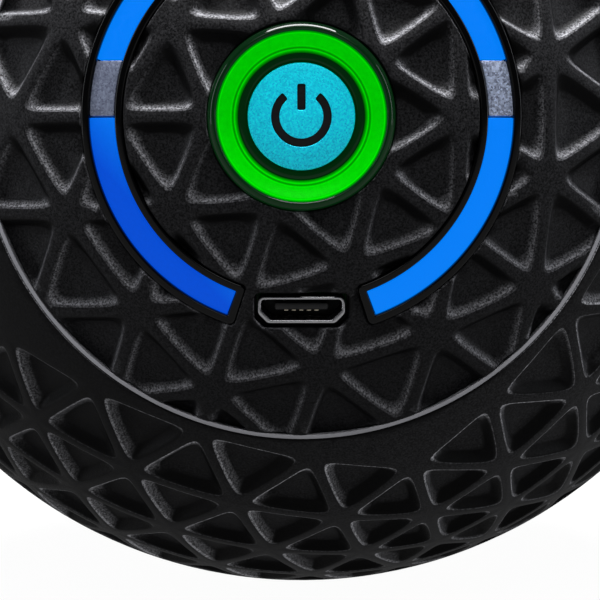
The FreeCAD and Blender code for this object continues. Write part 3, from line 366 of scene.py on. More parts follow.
def slab(outlines, top, bottom, lip):
    """A plate with rounded edges: top and bottom give heights, and the first outline is the outer one."""
    edges, tops, feet = [], [], []
    for outline, sign in signed(outlines):
        loop = outline.grown(sign * lip)
        tops.append(with_height(loop, top(loop)))
        strips, foot = rounded_edge(outline, sign, tops[-1], lip, bottom)
        edges += strips
        feet.append(foot)
    return [patch(tops), *edges, patch(feet)]


def lathe(profile, segments=180):
    """A body turned about the button's axis from a closed profile of (radius, height)."""
    loops = [with_height(radius * compass(full_turn(segments)), height) for radius, height in profile]
    return walls(loops + loops[:1])


def softened(corners, radius, pieces=3):
    """A closed profile with each corner rounded, by less where its sides are short."""
    corners = [np.array(c, float) for c in corners]
    points = []
    for n, corner in enumerate(corners):
        before = corners[n - 1] - corner
        after = corners[(n + 1) % len(corners)] - corner
        run = min(radius, 0.45 * np.linalg.norm(before), 0.45 * np.linalg.norm(after))
        first, last = corner + unit(before) * run, corner + unit(after) * run
        for k in range(pieces + 1):
            t = k / pieces
            points.append(first * (1 - t) ** 2 + corner * 2 * t * (1 - t) + last * t ** 2)
    return points


# ==== Geodesic relief ====
def geodesic(turn):
    """Cells of a geodesic sphere, as corner directions. One five-way corner is on the button's axis."""
    height, reach = 1 / math.sqrt(5), 2 / math.sqrt(5)

    def corner(angle, side):
        angle = math.radians(angle)
        return np.array([reach * math.cos(angle), reach * math.sin(angle), side * height])

    upper = [corner(turn + 72 * k, 1) for k in range(5)]
    lower = [corner(turn + 36 + 72 * k, -1) for k in range(5)]
    front, rear = np.array([0.0, 0.0, 1.0]), np.array([0.0, 0.0, -1.0])
    cells = []
    for k in range(5):
        n = (k + 1) % 5
        for a, b, c in ((front, upper[k], upper[n]), (upper[k], lower[k], upper[n]),
                        (lower[k], lower[n], upper[n]), (rear, lower[n], lower[k])):
            def at(i, j):
                return unit(a + (b - a) * i / FREQUENCY + (c - a) * j / FREQUENCY)
            for i in range(FREQUENCY):
                for j in range(FREQUENCY - i):
                    cells.append((at(i, j), at(i + 1, j), at(i, j + 1)))
                    if i + j < FREQUENCY - 1:
                        cells.append((at(i + 1, j), at(i + 1, j + 1), at(i, j + 1)))
    return np.array(cells)


def depth_curve():
    """Depth of a pocket against the distance from the middle of its ridge."""
    away = np.linspace(CREST_HALF, FLOOR_START, 60)
    slope = np.interp(away, [CREST_HALF, SLOPE_START, SLOPE_END, FLOOR_START], [0, 1, 1, 0])
    depth = np.concatenate([[0], np.cumsum((slope[1:] + slope[:-1]) / 2)])
    return away, depth / depth[-1] * POCKET_DEPTH


class Lattice:
    """Triangular pockets with ridges along the edges of a geodesic sphere."""

    def __init__(self, turn):
        self.cells = geodesic(turn)
        self.middle = unit(self.cells.sum(axis=1))
        self.planes = unit(np.cross(self.cells, np.roll(self.cells, -1, axis=1)))
        tilt = np.einsum("cik,ck->ci", self.planes, self.middle)
        self.slant = np.sqrt(1 - tilt ** 2)
        self.curve = depth_curve()
        self.rings = self.make_rings()

    def from_ridge(self, directions, cell):
        """Smoothed distance to the nearest ridge of a cell."""
        across = np.einsum("nk,nik->ni", directions, self.planes[cell])
        ahead = np.einsum("nk,nk->n", directions, self.middle[cell])
        away = BALL * across / ahead[:, None] / self.slant[cell]
        return -np.log(np.exp(-CORNER_SOFTNESS * away).sum(axis=1)) / CORNER_SOFTNESS

    def cell_of(self, directions):
        return np.einsum("nk,cik->nci", directions, self.planes).min(axis=2).argmax(axis=1)

    def depth(self, directions):
        return np.interp(self.from_ridge(directions, self.cell_of(directions)), *self.curve)

    def make_rings(self):
        """Points on each cell's edge, then on loops at set distances from its ridges, then its middle."""
        count = len(self.cells)
        following = np.roll(self.cells, -1, axis=1)
        edge = np.stack([self.cells + (following - self.cells) * t for t in EDGE_SHARES], axis=2)
        edge = unit(edge.reshape(count, -1, 3))
        self.around = edge.shape[1]
        rings = [edge * BALL]
        cell = np.repeat(np.arange(count), self.around)
        start = np.repeat(self.middle, self.around, axis=0)
        end = edge.reshape(-1, 3)
        for level in RING_LEVELS:
            near, far = np.zeros(len(end)), np.ones(len(end))
            for _ in range(26):
                half = (near + far) / 2
                here = unit(start + (end - start) * half[:, None])
                inside = self.from_ridge(here, cell) > level
                near, far = np.where(inside, half, near), np.where(inside, far, half)
            depth = np.interp(level, *self.curve)
            rings.append(here.reshape(count, -1, 3) * (BALL - depth))
        return rings

    def floor_middle(self, cells):
        return self.middle[cells] * (BALL - POCKET_DEPTH)

    def full(self, cells):
        """Triangles of whole cells."""
        rings = np.stack([ring[cells] for ring in self.rings], axis=1)
        layers = rings.shape[1]
        per_cell = layers * self.around + 1
        points = np.concatenate([rings.reshape(len(cells), -1, 3),
                                 self.floor_middle(cells)[:, None]], axis=1)
        here, there = loop_edges(0, self.around).T
        faces = []
        for layer in range(layers - 1):
            a, b = layer * self.around, (layer + 1) * self.around
            faces += [np.column_stack([a + here, a + there, b + there]),
                      np.column_stack([a + here, b + there, b + here])]
        last = (layers - 1) * self.around
        faces.append(np.column_stack([last + here, last + there, np.full(self.around, per_cell - 1)]))
        faces = np.vstack(faces)
        shift = np.arange(len(cells))[:, None, None] * per_cell
        return points.reshape(-1, 3), (faces[None] + shift).reshape(-1, 3)

    def lift(self, flat):
        """Points of the relief over flat points, on the button's side."""
        high = on_sphere(BALL, flat)
        for _ in range(40):
            depth = self.depth(unit(with_height(flat, high)))
            high = high / 2 + on_sphere(1.0, flat / (BALL - depth)[:, None]) * (BALL - depth) / 2
        return with_height(flat, high)


def gnomonic(points):
    """Flat picture of front points in which great circles are straight."""
    return points[:, :2] / points[:, 2:3] * BALL


def relief(lattice, outlines, filled=False):
    """Skin with the relief, trimmed and rolled down at the outlines, and the loops where it ends.

    An outline's sign is -1 if the skin lies inside it and 1 if it lies outside. If it is filled, the
    pockets that the outlines cut are left out.
    """
    bounds = [(outline.points, sign) for outline, sign in outlines]
    loops = [outline.grown(sign * LIP) for outline, sign in outlines]
    tops = [with_height(loop, on_sphere(BALL, loop)) if filled else lattice.lift(loop) for loop in loops]
    crossed = np.unique(lattice.cell_of(unit(np.vstack(tops))))
    reach = max(np.linalg.norm(loop, axis=1).max() for loop, _ in bounds) + 1
    edge = lattice.rings[0]
    front = edge[:, :, 2].min(axis=1) > BALL * 0.5
    close = front & (np.hypot(edge[:, :, 0], edge[:, :, 1]).min(axis=1) < reach)
    room = np.full(edge.shape[:2], outlines[0][1] * np.inf)
    room[close] = clearance(edge[close].reshape(-1, 3), bounds).reshape(-1, lattice.around)
    margin = LIP + CLEAR_OF_LIP
    whole = room.min(axis=1) > margin
    whole[crossed] = False
    cut = (room.max(axis=1) > margin) & ~whole
    cut[crossed] = True
    cut = np.flatnonzero(cut)

    rings = np.stack([ring[cut] for ring in lattice.rings], axis=1)
    points = np.concatenate([rings.reshape(-1, 3), lattice.floor_middle(cut)])
    if filled:
        points = unit(points) * BALL
    starts = lattice.around * np.arange(len(cut) * rings.shape[1])
    edges = np.vstack([loop_edges(start, lattice.around) for start in starts])
    points, index = weld_points(points)
    edges = np.unique(np.sort(index[edges], axis=1), axis=0)
    edges = edges[edges[:, 0] != edges[:, 1]]
    keep = clearance(points, bounds) > margin
    edges = edges[keep[edges].all(axis=1)]
    for share in (0.25, 0.5, 0.75):
        between = points[edges[:, 0]] * (1 - share) + points[edges[:, 1]] * share
        edges = edges[clearance(between, bounds) > LIP + EDGE_CLEAR_OF_LIP]
    points, edges = points[keep], (np.cumsum(keep) - 1)[edges]
    for top in tops:
        edges = np.vstack([edges, loop_edges(len(points), len(top))])
        points = np.vstack([points, top])
    flat = gnomonic(points)
    triangles = triangulate(flat, edges, [(gnomonic(top), sign) for top, (_, sign) in zip(tops, outlines)])
    directions = unit(with_height(flat[triangles].mean(axis=1), BALL))
    triangles = triangles[np.isin(lattice.cell_of(directions), cut)]
    parts = [lattice.full(np.flatnonzero(whole))] if whole.any() else []
    parts.append((points, triangles))
    feet = []
    for (outline, sign), top in zip(outlines, tops):
        strips, foot = rounded_edge(outline, sign, top, LIP, ball_surface(BALL - SKIN_INSIDE))
        parts += strips
        feet.append(foot)
    return parts, feet


def weld_points(points):
    """Distinct points and, for each given point, which of them it is."""
    _, first, index = np.unique(np.round(points * 1e4).astype(np.int64), axis=0,
                                return_index=True, return_inverse=True)
    return points[first], index.reshape(-1)


def inside_sheet(loop):
    """Inside of the sleeve: a sphere from a loop round the front opening to the rear."""
    rows, step = 40, len(loop) // COARSE
    turn = np.arctan2(loop[::step, 1], loop[::step, 0])
    angles = np.linspace(math.acos(loop[0, 2] / SKIN_INSIDE), math.pi, rows + 1)[1:-1]
    rings = [SKIN_INSIDE * with_height(math.sin(angle) * compass(turn), math.cos(angle)) for angle in angles]
    faces = []
    for j in range(COARSE):
        near, after = len(loop) + j, len(loop) + (j + 1) % COARSE
        for i in range(step):
            faces.append((j * step + i, (j * step + i + 1) % len(loop), near))
        faces.append(((j + 1) * step % len(loop), after, near))
    first = (np.vstack([loop, rings[0]]), np.array(faces))
    tip = np.vstack([rings[-1], [[0, 0, -SKIN_INSIDE]]])
    last = (tip, np.column_stack([loop_edges(0, COARSE), np.full(COARSE, COARSE)]))
    return [first, *walls(rings), last]


# ==== Pieces ====
def put(name, data):
    """A new object in the scene."""
    thing = bpy.data.objects.new(name, data)
    bpy.context.scene.collection.objects.link(thing)
    return thing


def add_piece(name, parts, slot, node, crease=None, body="ball"):
    """Welds the parts into one closed mesh that rides on a body and stands for a CAD node."""
    shifts = np.cumsum([0] + [len(points) for points, _ in parts])
    faces = np.vstack([triangles + shift for (_, triangles), shift in zip(parts, shifts)])
    points, index = weld_points(np.vstack([points for points, _ in parts]))
    faces = index[faces]
    distinct = (np.diff(np.sort(faces, axis=1), axis=1) > 0).all(axis=1)
    mesh = bpy.data.meshes.new(name)
    mesh.from_pydata(to_row(points).tolist(), [], faces[distinct].tolist())
    shape = bmesh.new()
    shape.from_mesh(mesh)
    bmesh.ops.recalc_face_normals(shape, faces=shape.faces)
    shape.to_mesh(mesh)
    shape.free()
    mesh.shade_smooth()
    if crease:
        mesh.set_sharp_from_angle(angle=math.radians(crease))
    mesh.materials.append(MATERIALS[slot])
    piece = put(name, mesh)
    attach(piece, body)
    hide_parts(node)


def ball_surface(drop=0.0):
    """Heights on the ball, less a drop towards its centre."""
    return lambda flat: on_sphere(BALL - drop, flat)


def level(height):
    return lambda flat: height


def make_sleeve():
    """One-piece silicone sleeve with its front opening."""
    parts, (foot,) = relief(Lattice(SLEEVE_TURN), [(circle(RING_OUTER), 1)], filled=True)
    add_piece("sleeve_skin", parts + inside_sheet(foot), "sleeve_silicone", "outer_sleeve")


def ring_slot():
    """Opening in the pad for the C-shaped indicator frame."""
    end = RING_END + FRAME_END_ANGLE
    return sector(FRAME_INNER - SLOT_GAP, FRAME_OUTER + SLOT_GAP, 180 - end, end, 0.45, spare=SLOT_GAP)


def make_pad():
    """Soft pad on the front cap, with openings for the button, the ring and the socket."""
    holes = [circle(BEZEL_HOLE), ring_slot(), socket_outline(0.32, 0.5, lower=0.12)]
    parts, feet = relief(Lattice(PAD_TURN), signed([circle(PAD_EDGE), *holes]))
    spots = polar_spots(signed([foot[:, :2] for foot in feet]), 1.5, ball_surface(BALL - SKIN_INSIDE))
    add_piece("cap_pad_skin", [*parts, patch(feet, spots)], "pad_silicone", "front_cap_pad")


def make_seam_ring():
    """Thin ring whose edge shows between the sleeve and the front pad."""
    foot_inner, foot_top = RING_OUTER - 1.6, RING_BOTTOM + 0.6
    rim = BALL - 0.02
    profile = softened([
        (foot_inner, RING_BOTTOM), (RING_OUTER, RING_BOTTOM),
        *((radius, math.sqrt(rim ** 2 - radius ** 2)) for radius in (RING_OUTER, RING_INNER)),
        (RING_INNER, foot_top), (foot_inner, foot_top),
    ], 0.12)
    add_piece("seam_ring", lathe(profile, 360), "ring_grey", "sleeve_retaining_ring", 50)


def make_bezel():
    """Glossy ring around the button group."""
    snap, snap_top, lower_bore = 8.6, 41.6, 6.4
    outer_bevel, outer_drop, bore_bevel, bore_drop = 0.36, 0.42, 0.12, 0.16
    profile = softened([
        (lower_bore, BEZEL_BACK), (snap, BEZEL_BACK), (snap, snap_top), (BEZEL, snap_top),
        (BEZEL, BEZEL_FRONT - outer_drop), (BEZEL - outer_bevel, BEZEL_FRONT),
        (BEZEL_BORE + bore_bevel, BEZEL_FRONT), (BEZEL_BORE, BEZEL_FRONT - bore_drop),
        (BEZEL_BORE, LIGHT_SHELF), (lower_bore, LIGHT_SHELF),
    ], 0.22, 5)
    add_piece("button_surround", lathe(profile, 240), "bezel_gloss", "button_bezel", 60)


def make_light_ring():
    """Dished light ring with a small raised lip at its inner edge."""
    leg, low, high, dish_sag, steps = 6.3, 46.95, LIGHT_FRONT, 0.10, 12
    rim_width, lip_width, rim_drop, dish_rise = 0.34, 0.42, 0.09, 0.06
    width = LIGHT_OUTER - rim_width - (LIGHT_INNER + lip_width)
    profile = [(LIGHT_INNER, LIGHT_BACK), (leg, LIGHT_BACK), (leg, LIGHT_SHELF), (LIGHT_OUTER, LIGHT_SHELF)]
    for inwards, drop in ((0.02, 0.10), (0.10, 0.0), (0.26, 0.02)):
        profile.append((LIGHT_OUTER - inwards, high - drop))
    for k in range(steps + 1):
        share = k / steps
        sag = dish_sag * math.sin(math.pi * share)
        fall = (high - rim_drop - low + dish_rise) * share
        profile.append((LIGHT_OUTER - rim_width - width * share, high - rim_drop - fall - sag))
    for out, rise in ((0.34, -0.02), (0.26, 0.07), (0.17, 0.08), (0.10, 0.02), (0.04, -0.02), (0.0, -0.10)):
        profile.append((LIGHT_INNER + out, low + rise))
    add_piece("button_glow_ring", lathe(profile, 240), "green_light", "button_light_ring", 50)


def make_guide():
    """Dark guide tube between the light ring and the button."""
    profile = softened([(GUIDE_INNER, GUIDE_BACK), (GUIDE_OUTER, GUIDE_BACK),
                        (GUIDE_OUTER, GUIDE_FRONT), (GUIDE_INNER, GUIDE_FRONT)], 0.16, 4)
    add_piece("button_sleeve_guide", lathe(profile), "bezel_gloss", "button_guide", 60)


def make_button():
    """Crowned button with an engraved generic power symbol."""
    def top(flat):
        return BUTTON_FRONT - BUTTON_SPHERE + on_sphere(BUTTON_SPHERE, flat)

    radius, half_stroke, half_gap, depth, mark_lip, corner, step = 2.2, 0.35, 38.0, 0.3, 0.08, 0.16, 0.12
    bar_middle, bar_half = radius * 0.75, 1.1
    ring = sector(radius - half_stroke, radius + half_stroke, 90 + half_gap, 450 - half_gap, corner, step)
    bar = upright(-half_stroke, half_stroke, bar_middle - bar_half, bar_middle + bar_half, corner, step)
    rim, lip = circle(BUTTON, 0.2), 0.14
    loops = [rim.grown(-lip), ring.grown(mark_lip), bar.grown(mark_lip)]
    tops = [with_height(loop, top(loop)) for loop in loops]
    parts = [patch(tops, polar_spots(signed(loops), 0.4, top))]
    for outline, start in zip((ring, bar), tops[1:]):
        strips, floor = rounded_edge(outline, 1, start, mark_lip, lambda flat: top(flat) - depth)
        parts += [*strips, patch([floor])]
    skirt, under, lug_top, stem = BUTTON - 0.6, BUTTON_FRONT - 1.8, BUTTON_SKIRT_END + 0.5, 1.4
    strips, foot = rounded_edge(rim, -1, tops[0], lip, level(lug_top), 4)
    turns = ((BUTTON_LUG, lug_top), (BUTTON_LUG, BUTTON_SKIRT_END), (skirt, BUTTON_SKIRT_END),
             (skirt, under), (stem, under), (stem, STEM_END))
    loops = [foot] + [with_height(rim.points * r / BUTTON, height) for r, height in turns]
    parts += [*strips, *walls(loops), patch(loops[-1:])]
    add_piece("button_face", parts, "button_cyan", "button_cap", 40, body="button")


def make_bar(start, end, level_end=None):
    """One bar of the indicator ring, less half a joint at both ends. Its end 0 or 1 may be cut level."""
    ends = start + JOINT_ANGLE, end - JOINT_ANGLE
    cut = None if level_end is None else ends[level_end]
    outline = sector(ARC_INNER, ARC_OUTER, *ends, ARC_CORNER, level_end=cut)
    return slab([outline], ball_surface(ARC_DROP), ball_surface(BALL - SKIN_INSIDE - 0.05), 0.07)


def make_indicator():
    """C-shaped frame, four light bars and the three bars between them."""
    border = sector(FRAME_INNER, FRAME_OUTER, RING_START - FRAME_END_ANGLE, RING_END + FRAME_END_ANGLE, 0.5)
    window = sector(ARC_INNER - SLOT_GAP, ARC_OUTER + SLOT_GAP, RING_START, RING_END, ARC_CORNER)
    parts = slab([border, window], ball_surface(), ball_surface(BALL - SKIN_INSIDE), 0.2)
    add_piece("indicator_surround", parts, "frame_black", "indicator_frame", 60)

    spacer = SPACER_ANGLE
    before_top, after_top = 90 - spacer / 2, 90 + spacer / 2
    for place, bar in {
        "lower_right": make_bar(RING_START, 0),
        "upper_right": make_bar(spacer, before_top, 0),
        "upper_left": make_bar(after_top, 180 - spacer, 1),
        "lower_left": make_bar(180, RING_END),
    }.items():
        add_piece("glow_bar_" + place, bar, "blue_light", "light_arc_" + place, 60)

    parts = make_bar(0, spacer, 1) + make_bar(before_top, after_top) + make_bar(180 - spacer, 180, 0)
    add_piece("glow_bar_spacers", parts, "spacer_grey", "indicator_spacers", 60)


def make_socket():
    """Folded steel shell, its tongue and five contacts."""
    outer, inner = socket_outline(0, 0.55), socket_outline(-SOCKET_WALL, 0.3)
    parts = slab([outer, inner], level(SOCKET_FRONT), level(SOCKET_BACK), 0.1)
    add_piece("socket_can", parts, "socket_steel", "socket_shell", 60)

    base_top, end = SOCKET_BACK + 1.8, 43.9
    half_width, height = 2.3, 0.55
    base = socket_outline(-SOCKET_WALL - 0.02, 0.3)
    top = -SOCKET_DOWN + SOCKET_HEIGHT / 2 - SOCKET_WALL - 0.35
    low = top - height
    tongue = upright(-half_width, half_width, low, top, 0.15, 0.1)
    parts = slab([base], level(base_top), level(SOCKET_BACK), 0.05)
    parts += slab([tongue], level(end), level(base_top), 0.08)
    add_piece("socket_tongue", parts, "insulator_black", "socket_insulator", 60)

    pitch, half, thickness = 0.65, 0.18, 0.12
    parts = []
    for n in range(-2, 3):
        contact = upright(n * pitch - half, n * pitch + half, low - thickness, low, 0.03, 0.04)
        parts += slab([contact], level(end - 0.3), level(base_top + 0.2), 0.03)
    add_piece("socket_springs", parts, "contact_gold", "socket_contacts", 60)


# ==== Materials ====
class Paint:
    """A material under construction, with its shader and short ways to add nodes.

    Wherever a node or the shader takes a value, it may be a plain value or another node's output.
    """

    def __init__(self, slot, color, roughness, metallic=0.0, specular=0.5):
        self.material = bpy.data.materials.new(slot + "_look")
        self.material.use_nodes = True
        self.tree = self.material.node_tree
        self.shader = self.tree.nodes["Principled BSDF"]
        self.color = color
        self.set("Base Color", (*color, 1.0))
        self.set("Roughness", roughness)
        self.set("Metallic", metallic)
        self.set("Specular IOR Level", specular)
        self.where = self.add("TexCoord").outputs["Object"]
        self.last_bump = None

    def feed(self, socket, value):
        if isinstance(value, bpy.types.NodeSocket):
            self.tree.links.new(value, socket)
        else:
            socket.default_value = value

    def set(self, name, value):
        self.feed(self.shader.inputs[name], value)

    def add(self, kind, inputs=None, **settings):
        node = self.tree.nodes.new("ShaderNode" + kind)
        for name, value in settings.items():
            setattr(node, name, value)
        for name, value in (inputs or {}).items():
            self.feed(node.inputs[name], value)
        return node

    def noise(self, size, detail=3.0, roughness=0.6, stretch=(1, 1, 1)):
        """Cloudy noise whose features are about size millimetres across."""
        place = self.add("Mapping", {"Vector": self.where, "Scale": stretch})
        node = self.add("TexNoise", {"Vector": place.outputs[0], "Scale": 1 / (size * MM),
                                     "Detail": detail, "Roughness": roughness})
        return node.outputs["Fac"]

    def flakes(self, size, output):
        """An output of small random cells about size millimetres across."""
        return self.add("TexVoronoi", {"Vector": self.where, "Scale": 1 / (size * MM)}).outputs[output]

    def ramp(self, factor, stops):
        """A colour that runs through (position, colour) stops as factor goes from 0 to 1."""
        node = self.add("ValToRGB", {"Fac": factor})
        elements = node.color_ramp.elements
        while len(elements) < len(stops):
            elements.new(1.0)
        for element, (position, color) in zip(elements, stops):
            element.position, element.color = position, (*color, 1.0)
        return node.outputs["Color"]

    def blend(self, factor, low, high, start=0.3, end=0.7):
        """A colour that goes from low to high as factor goes from start to end."""
        return self.ramp(factor, [(start, low), (end, high)])

    def steps(self, factor, stops):
        """A grey that runs through (position, grey) stops as factor goes from 0 to 1."""
        return self.ramp(factor, [(position, (grey,) * 3) for position, grey in stops])

    def span(self, factor, low, high, start=0.3, end=0.7):
        """A number that goes from low to high as factor goes from start to end."""
        node = self.add("MapRange", {"Value": factor, "From Min": start, "From Max": end,
                                     "To Min": low, "To Max": high})
        return node.outputs["Result"]

    def between(self, factor, plain, output):
        """A plain colour where factor is 0 and another node's colour where it is 1."""
        return self.add("Mix", {0: factor, 6: (*plain, 1.0), 7: output}, data_type="RGBA").outputs[2]

    def math(self, operation, first, second):
        return self.add("Math", {0: first, 1: second}, operation=operation).outputs[0]

    def times(self, first, second):
        return self.math("MULTIPLY", first, second)

    def vector(self, operation, *values):
        """The outputs of a sum on vectors."""
        return self.add("VectorMath", dict(enumerate(values)), operation=operation).outputs

    def along(self, *direction):
        """How far the place on the object lies along a direction, in metres."""
        return self.vector("DOT_PRODUCT", self.where, direction)["Value"]

    def lean(self, right, up):
        """How far the surface leans this way from the ball's own surface: 0 to 1, and 0.5 if not at all."""
        sphere = self.vector("NORMALIZE", self.where)[0]
        change = self.vector("SUBTRACT", self.where.node.outputs["Normal"], sphere)[0]
        split = self.add("SeparateXYZ", {0: change}).outputs
        both = self.math("ADD", self.times(split["X"], right), self.times(split["Z"], up))
        return self.span(both, 0, 1, -0.5, 0.5)

    def off_axis(self):
        """Distance from the button's axis, in metres."""
        return self.vector("LENGTH", self.vector("MULTIPLY", self.where, (1, 0, 1))[0])["Value"]

    def bump(self, height, strength, depth):
        """Bump from a height, depth millimetres deep; a later bump adds to an earlier one."""
        inputs = {"Height": height, "Strength": strength, "Distance": depth * MM}
        if self.last_bump:
            inputs["Normal"] = self.last_bump
        self.last_bump = self.add("Bump", inputs).outputs["Normal"]
        self.set("Normal", self.last_bump)

    def tint(self, factor, low, high, start=0.3, end=0.7):
        """A base colour that goes from low to high times the paint's own colour."""
        dark, light = (tuple(min(1.0, c * share) for c in self.color) for share in (low, high))
        self.set("Base Color", self.blend(factor, dark, light, start, end))

    def rough(self, factor, low, high, start=0.3, end=0.7):
        self.set("Roughness", self.span(factor, low, high, start, end))

    def emit(self, color):
        self.set("Emission Color", color)
        self.set("Emission Strength", 1.0)


def silicone(slot, color, pale, plain, edge, slopes, lit_from_below):
    """Matt black silicone with painted highlights: these shares of a paler grey on top, at the pockets'
    edges and on slopes.

    The paler grey is painted light. The edges and slopes are painted paler the more they lean towards a
    light above. If it is also lit from below, that light lies to the lower right for its lower side, and the
    painted light there leans to it and grows towards the lower right. If not, the painted light grows with
    height.
    """
    paint = Paint(slot, color, 0.5, specular=0.08)
    side_reach, upper_end, lower_end = 25 * MM, -14 * MM, -25 * MM
    from_center = paint.vector("LENGTH", paint.where)["Value"]
    sunk = paint.span(from_center, 1, 0, (BALL - POCKET_DEPTH) * MM, BALL * MM)
    # painted highlights: shares of the paler grey at the pockets' edges and on their slopes
    share = paint.steps(sunk, [(0.0, 0.0), (0.015, 0.0), (0.03, edge), (0.12, edge), *slopes, (0.9, 0.0)])
    rise = paint.along(0, 0, 1)
    # how far the surface faces the light above, which leans towards the middle from either side; the painted
    # light follows it
    lean = paint.lean(paint.span(paint.along(1, 0, 0), 0.5, -0.1, -side_reach, side_reach), 0.87)
    if lit_from_below:
        # on the lower side the painted light comes from the lower right and below instead
        low = paint.span(rise, 1, 0, lower_end, upper_end)
        change = paint.times(paint.math("SUBTRACT", paint.lean(0.6, -0.8), lean), low)
        lean = paint.math("ADD", lean, change)
        # painted light, stronger towards the lower right
        painted_light_gradient = paint.span(paint.along(0.5, 0, -1), 0.75, 2.8, 18 * MM, 44 * MM)
    else:
        # painted shade, darker towards the bottom
        painted_light_gradient = paint.span(rise, 0.5, 1.0, -27 * MM, 0)
    share = paint.times(share, paint.steps(lean, [(0.2, 0.0), (0.5, 0.3), (0.85, 1.0)]))
    # painted light on any surface that faces the light above
    share = paint.math("MAXIMUM", share, paint.steps(lean, [(0.12, 0.0), (0.42, plain)]))
    grain, cloud = paint.noise(0.18, 2.0, 0.7), paint.noise(2.6, 2.0)
    share = paint.times(paint.times(share, painted_light_gradient), paint.span(grain, 0.1, 1.0, 0.38, 0.66))
    # the paler grey mixed in here is painted light
    paint.set("Base Color", paint.blend(share, color, pale, 0, 1))
    paint.rough(grain, 0.42, 0.62, 0.35, 0.65)
    paint.bump(cloud, 0.2, 0.12)
    paint.bump(grain, 0.7, 0.03)
    return paint


def plastic(slot, color, roughness, grain=0.25, depth=0.01, specular=0.5):
    """Moulded plastic with a slight colour drift and a fine grain."""
    paint = Paint(slot, color, roughness, specular=specular)
    paint.tint(paint.noise(5.0), 0.88, 1.1)
    paint.rough(paint.noise(1.2), roughness * 0.85, roughness * 1.2)
    paint.bump(paint.noise(grain, 2.0), 0.4, depth)
    return paint


def metal(slot, color, roughness, grain=(1, 1, 1), size=0.6, depth=0.006):
    """Metal with fine drawn or ground lines, along the axis where grain is small."""
    paint = Paint(slot, color, roughness, metallic=1.0)
    lines = paint.noise(size, 4.0, 0.6, grain)
    paint.tint(paint.noise(6.0), 0.85, 1.08)
    paint.rough(lines, roughness * 0.75, roughness * 1.3)
    paint.bump(lines, 0.35, depth)
    return paint


def glow(slot, color, light, dim):
    """Translucent plastic lit from behind, with painted shade that makes it less bright towards the lower
    left.
    """
    paint = Paint(slot, color, 0.3, specular=0.12)
    cloud = paint.noise(0.35, 3.0, 0.7)
    # painted shade: the glow fades to the dim colour towards the lower left
    lit = paint.span(paint.along(1.0, 0.0, 0.9), 0, 1, -21 * MM, -14 * MM)
    paint.tint(cloud, 0.8, 1.2)
    paint.emit(paint.blend(lit, dim, light, 0, 1))
    paint.rough(cloud, 0.3, 0.5)
    paint.bump(cloud, 0.45, 0.03)
    return paint


def ring_glow(slot, color, light):
    """The button's light ring, with fine brighter lines at its edges as painted highlights, and a painted
    brighter low side.
    """
    paint = Paint(slot, color, 0.5, specular=0.02)
    cloud = paint.noise(0.5, 3.0, 0.7)
    across = paint.span(paint.off_axis(), 0, 1, LIGHT_INNER * MM, LIGHT_OUTER * MM)
    # painted highlights: brighter lines along the ring's edges
    lines = paint.steps(across, [(0.0, 0.15), (0.10, 0.55), (0.13, 0.95), (0.20, 0.30), (0.24, 0.30),
                                 (0.30, 0.85), (0.36, 0.70), (0.88, 0.70), (0.93, 1.0), (0.97, 0.5)])
    # painted light: brighter towards the lower side
    low = paint.span(paint.along(0, 0, 1), 1.25, 0.95, -LIGHT_OUTER * MM, 0)
    glow_with_painted_light = paint.times(paint.times(lines, low), paint.span(cloud, 0.92, 1.05))
    paint.tint(cloud, 0.8, 1.2)
    paint.emit(paint.blend(glow_with_painted_light, (0.0, 0.0, 0.0), light, 0, 1))
    paint.rough(cloud, 0.45, 0.6)
    paint.bump(cloud, 0.3, 0.02)
    return paint


def flake_metallic(slot, color, deep):
    """Metallic lacquer: tiny flakes that catch the light one by one, and painted light that makes it paler
    towards the right.
    """
    paint = Paint(slot, color, 0.5, metallic=0.35)
    flakes = paint.flakes(0.16, "Color")
    # painted light: paler towards the right, darker on the left
    side = paint.span(paint.along(1, 0, 0), 0.28, 1.0, -20 * MM, 20 * MM)
    flakes_and_painted_light = paint.times(paint.span(flakes, 0, 1, 0.15, 0.85), side)
    paint.set("Base Color", paint.blend(flakes_and_painted_light, deep, color, 0, 1))
    paint.rough(paint.noise(0.3), 0.4, 0.625)
    paint.bump(flakes, 0.35, 0.02)
    paint.set("Coat Weight", 0.25)
    paint.set("Coat Roughness", 0.15)
    return paint


def button_lacquer(slot, color, deep, mark, light):
    """Metallic lacquer with the engraved mark filled in, and painted light as a faint glow that grows
    towards the top.
    """
    paint = Paint(slot, color, 0.4, metallic=0.35)
    flakes = paint.flakes(0.12, "Color")
    sag = paint.times(paint.math("POWER", paint.off_axis(), 2), 1 / (2 * BUTTON_SPHERE * MM))
    height = paint.math("ADD", paint.along(0, -1, 0), sag)
    face = paint.span(height, 0, 1, (BUTTON_FRONT - 0.13) * MM, (BUTTON_FRONT - 0.07) * MM)
    paint.set("Base Color", paint.between(face, mark, paint.blend(flakes, deep, color, 0.1, 0.9)))
    # painted light: the face glows more towards the top
    up = paint.span(paint.along(0, 0, 1), 0.35, 1.0, -BUTTON * MM, BUTTON * MM)
    lit = paint.times(paint.times(up, face), paint.span(flakes, 0.75, 1.25, 0, 1))
    paint.emit(paint.blend(lit, (0.0, 0.0, 0.0), light, 0, 1))
    paint.rough(paint.noise(0.3), 0.34, 0.5)
    paint.bump(flakes, 0.3, 0.02)
    return paint


def gloss_black(slot, color, stray_light):
    """Polished black plastic with faint moulding waves, and a faint glow that is a painted reflection of
    nearby light.
    """
    paint = Paint(slot, color, 0.06, specular=0.2)
    # painted reflection: a faint glow that stands in for light reflected from nearby
    paint.emit((*stray_light, 1.0))
    paint.tint(paint.noise(3.0), 0.8, 1.3)
    paint.rough(paint.noise(0.8), 0.04, 0.10)
    paint.bump(paint.noise(1.5, 1.0), 0.2, 0.01)
    return paint


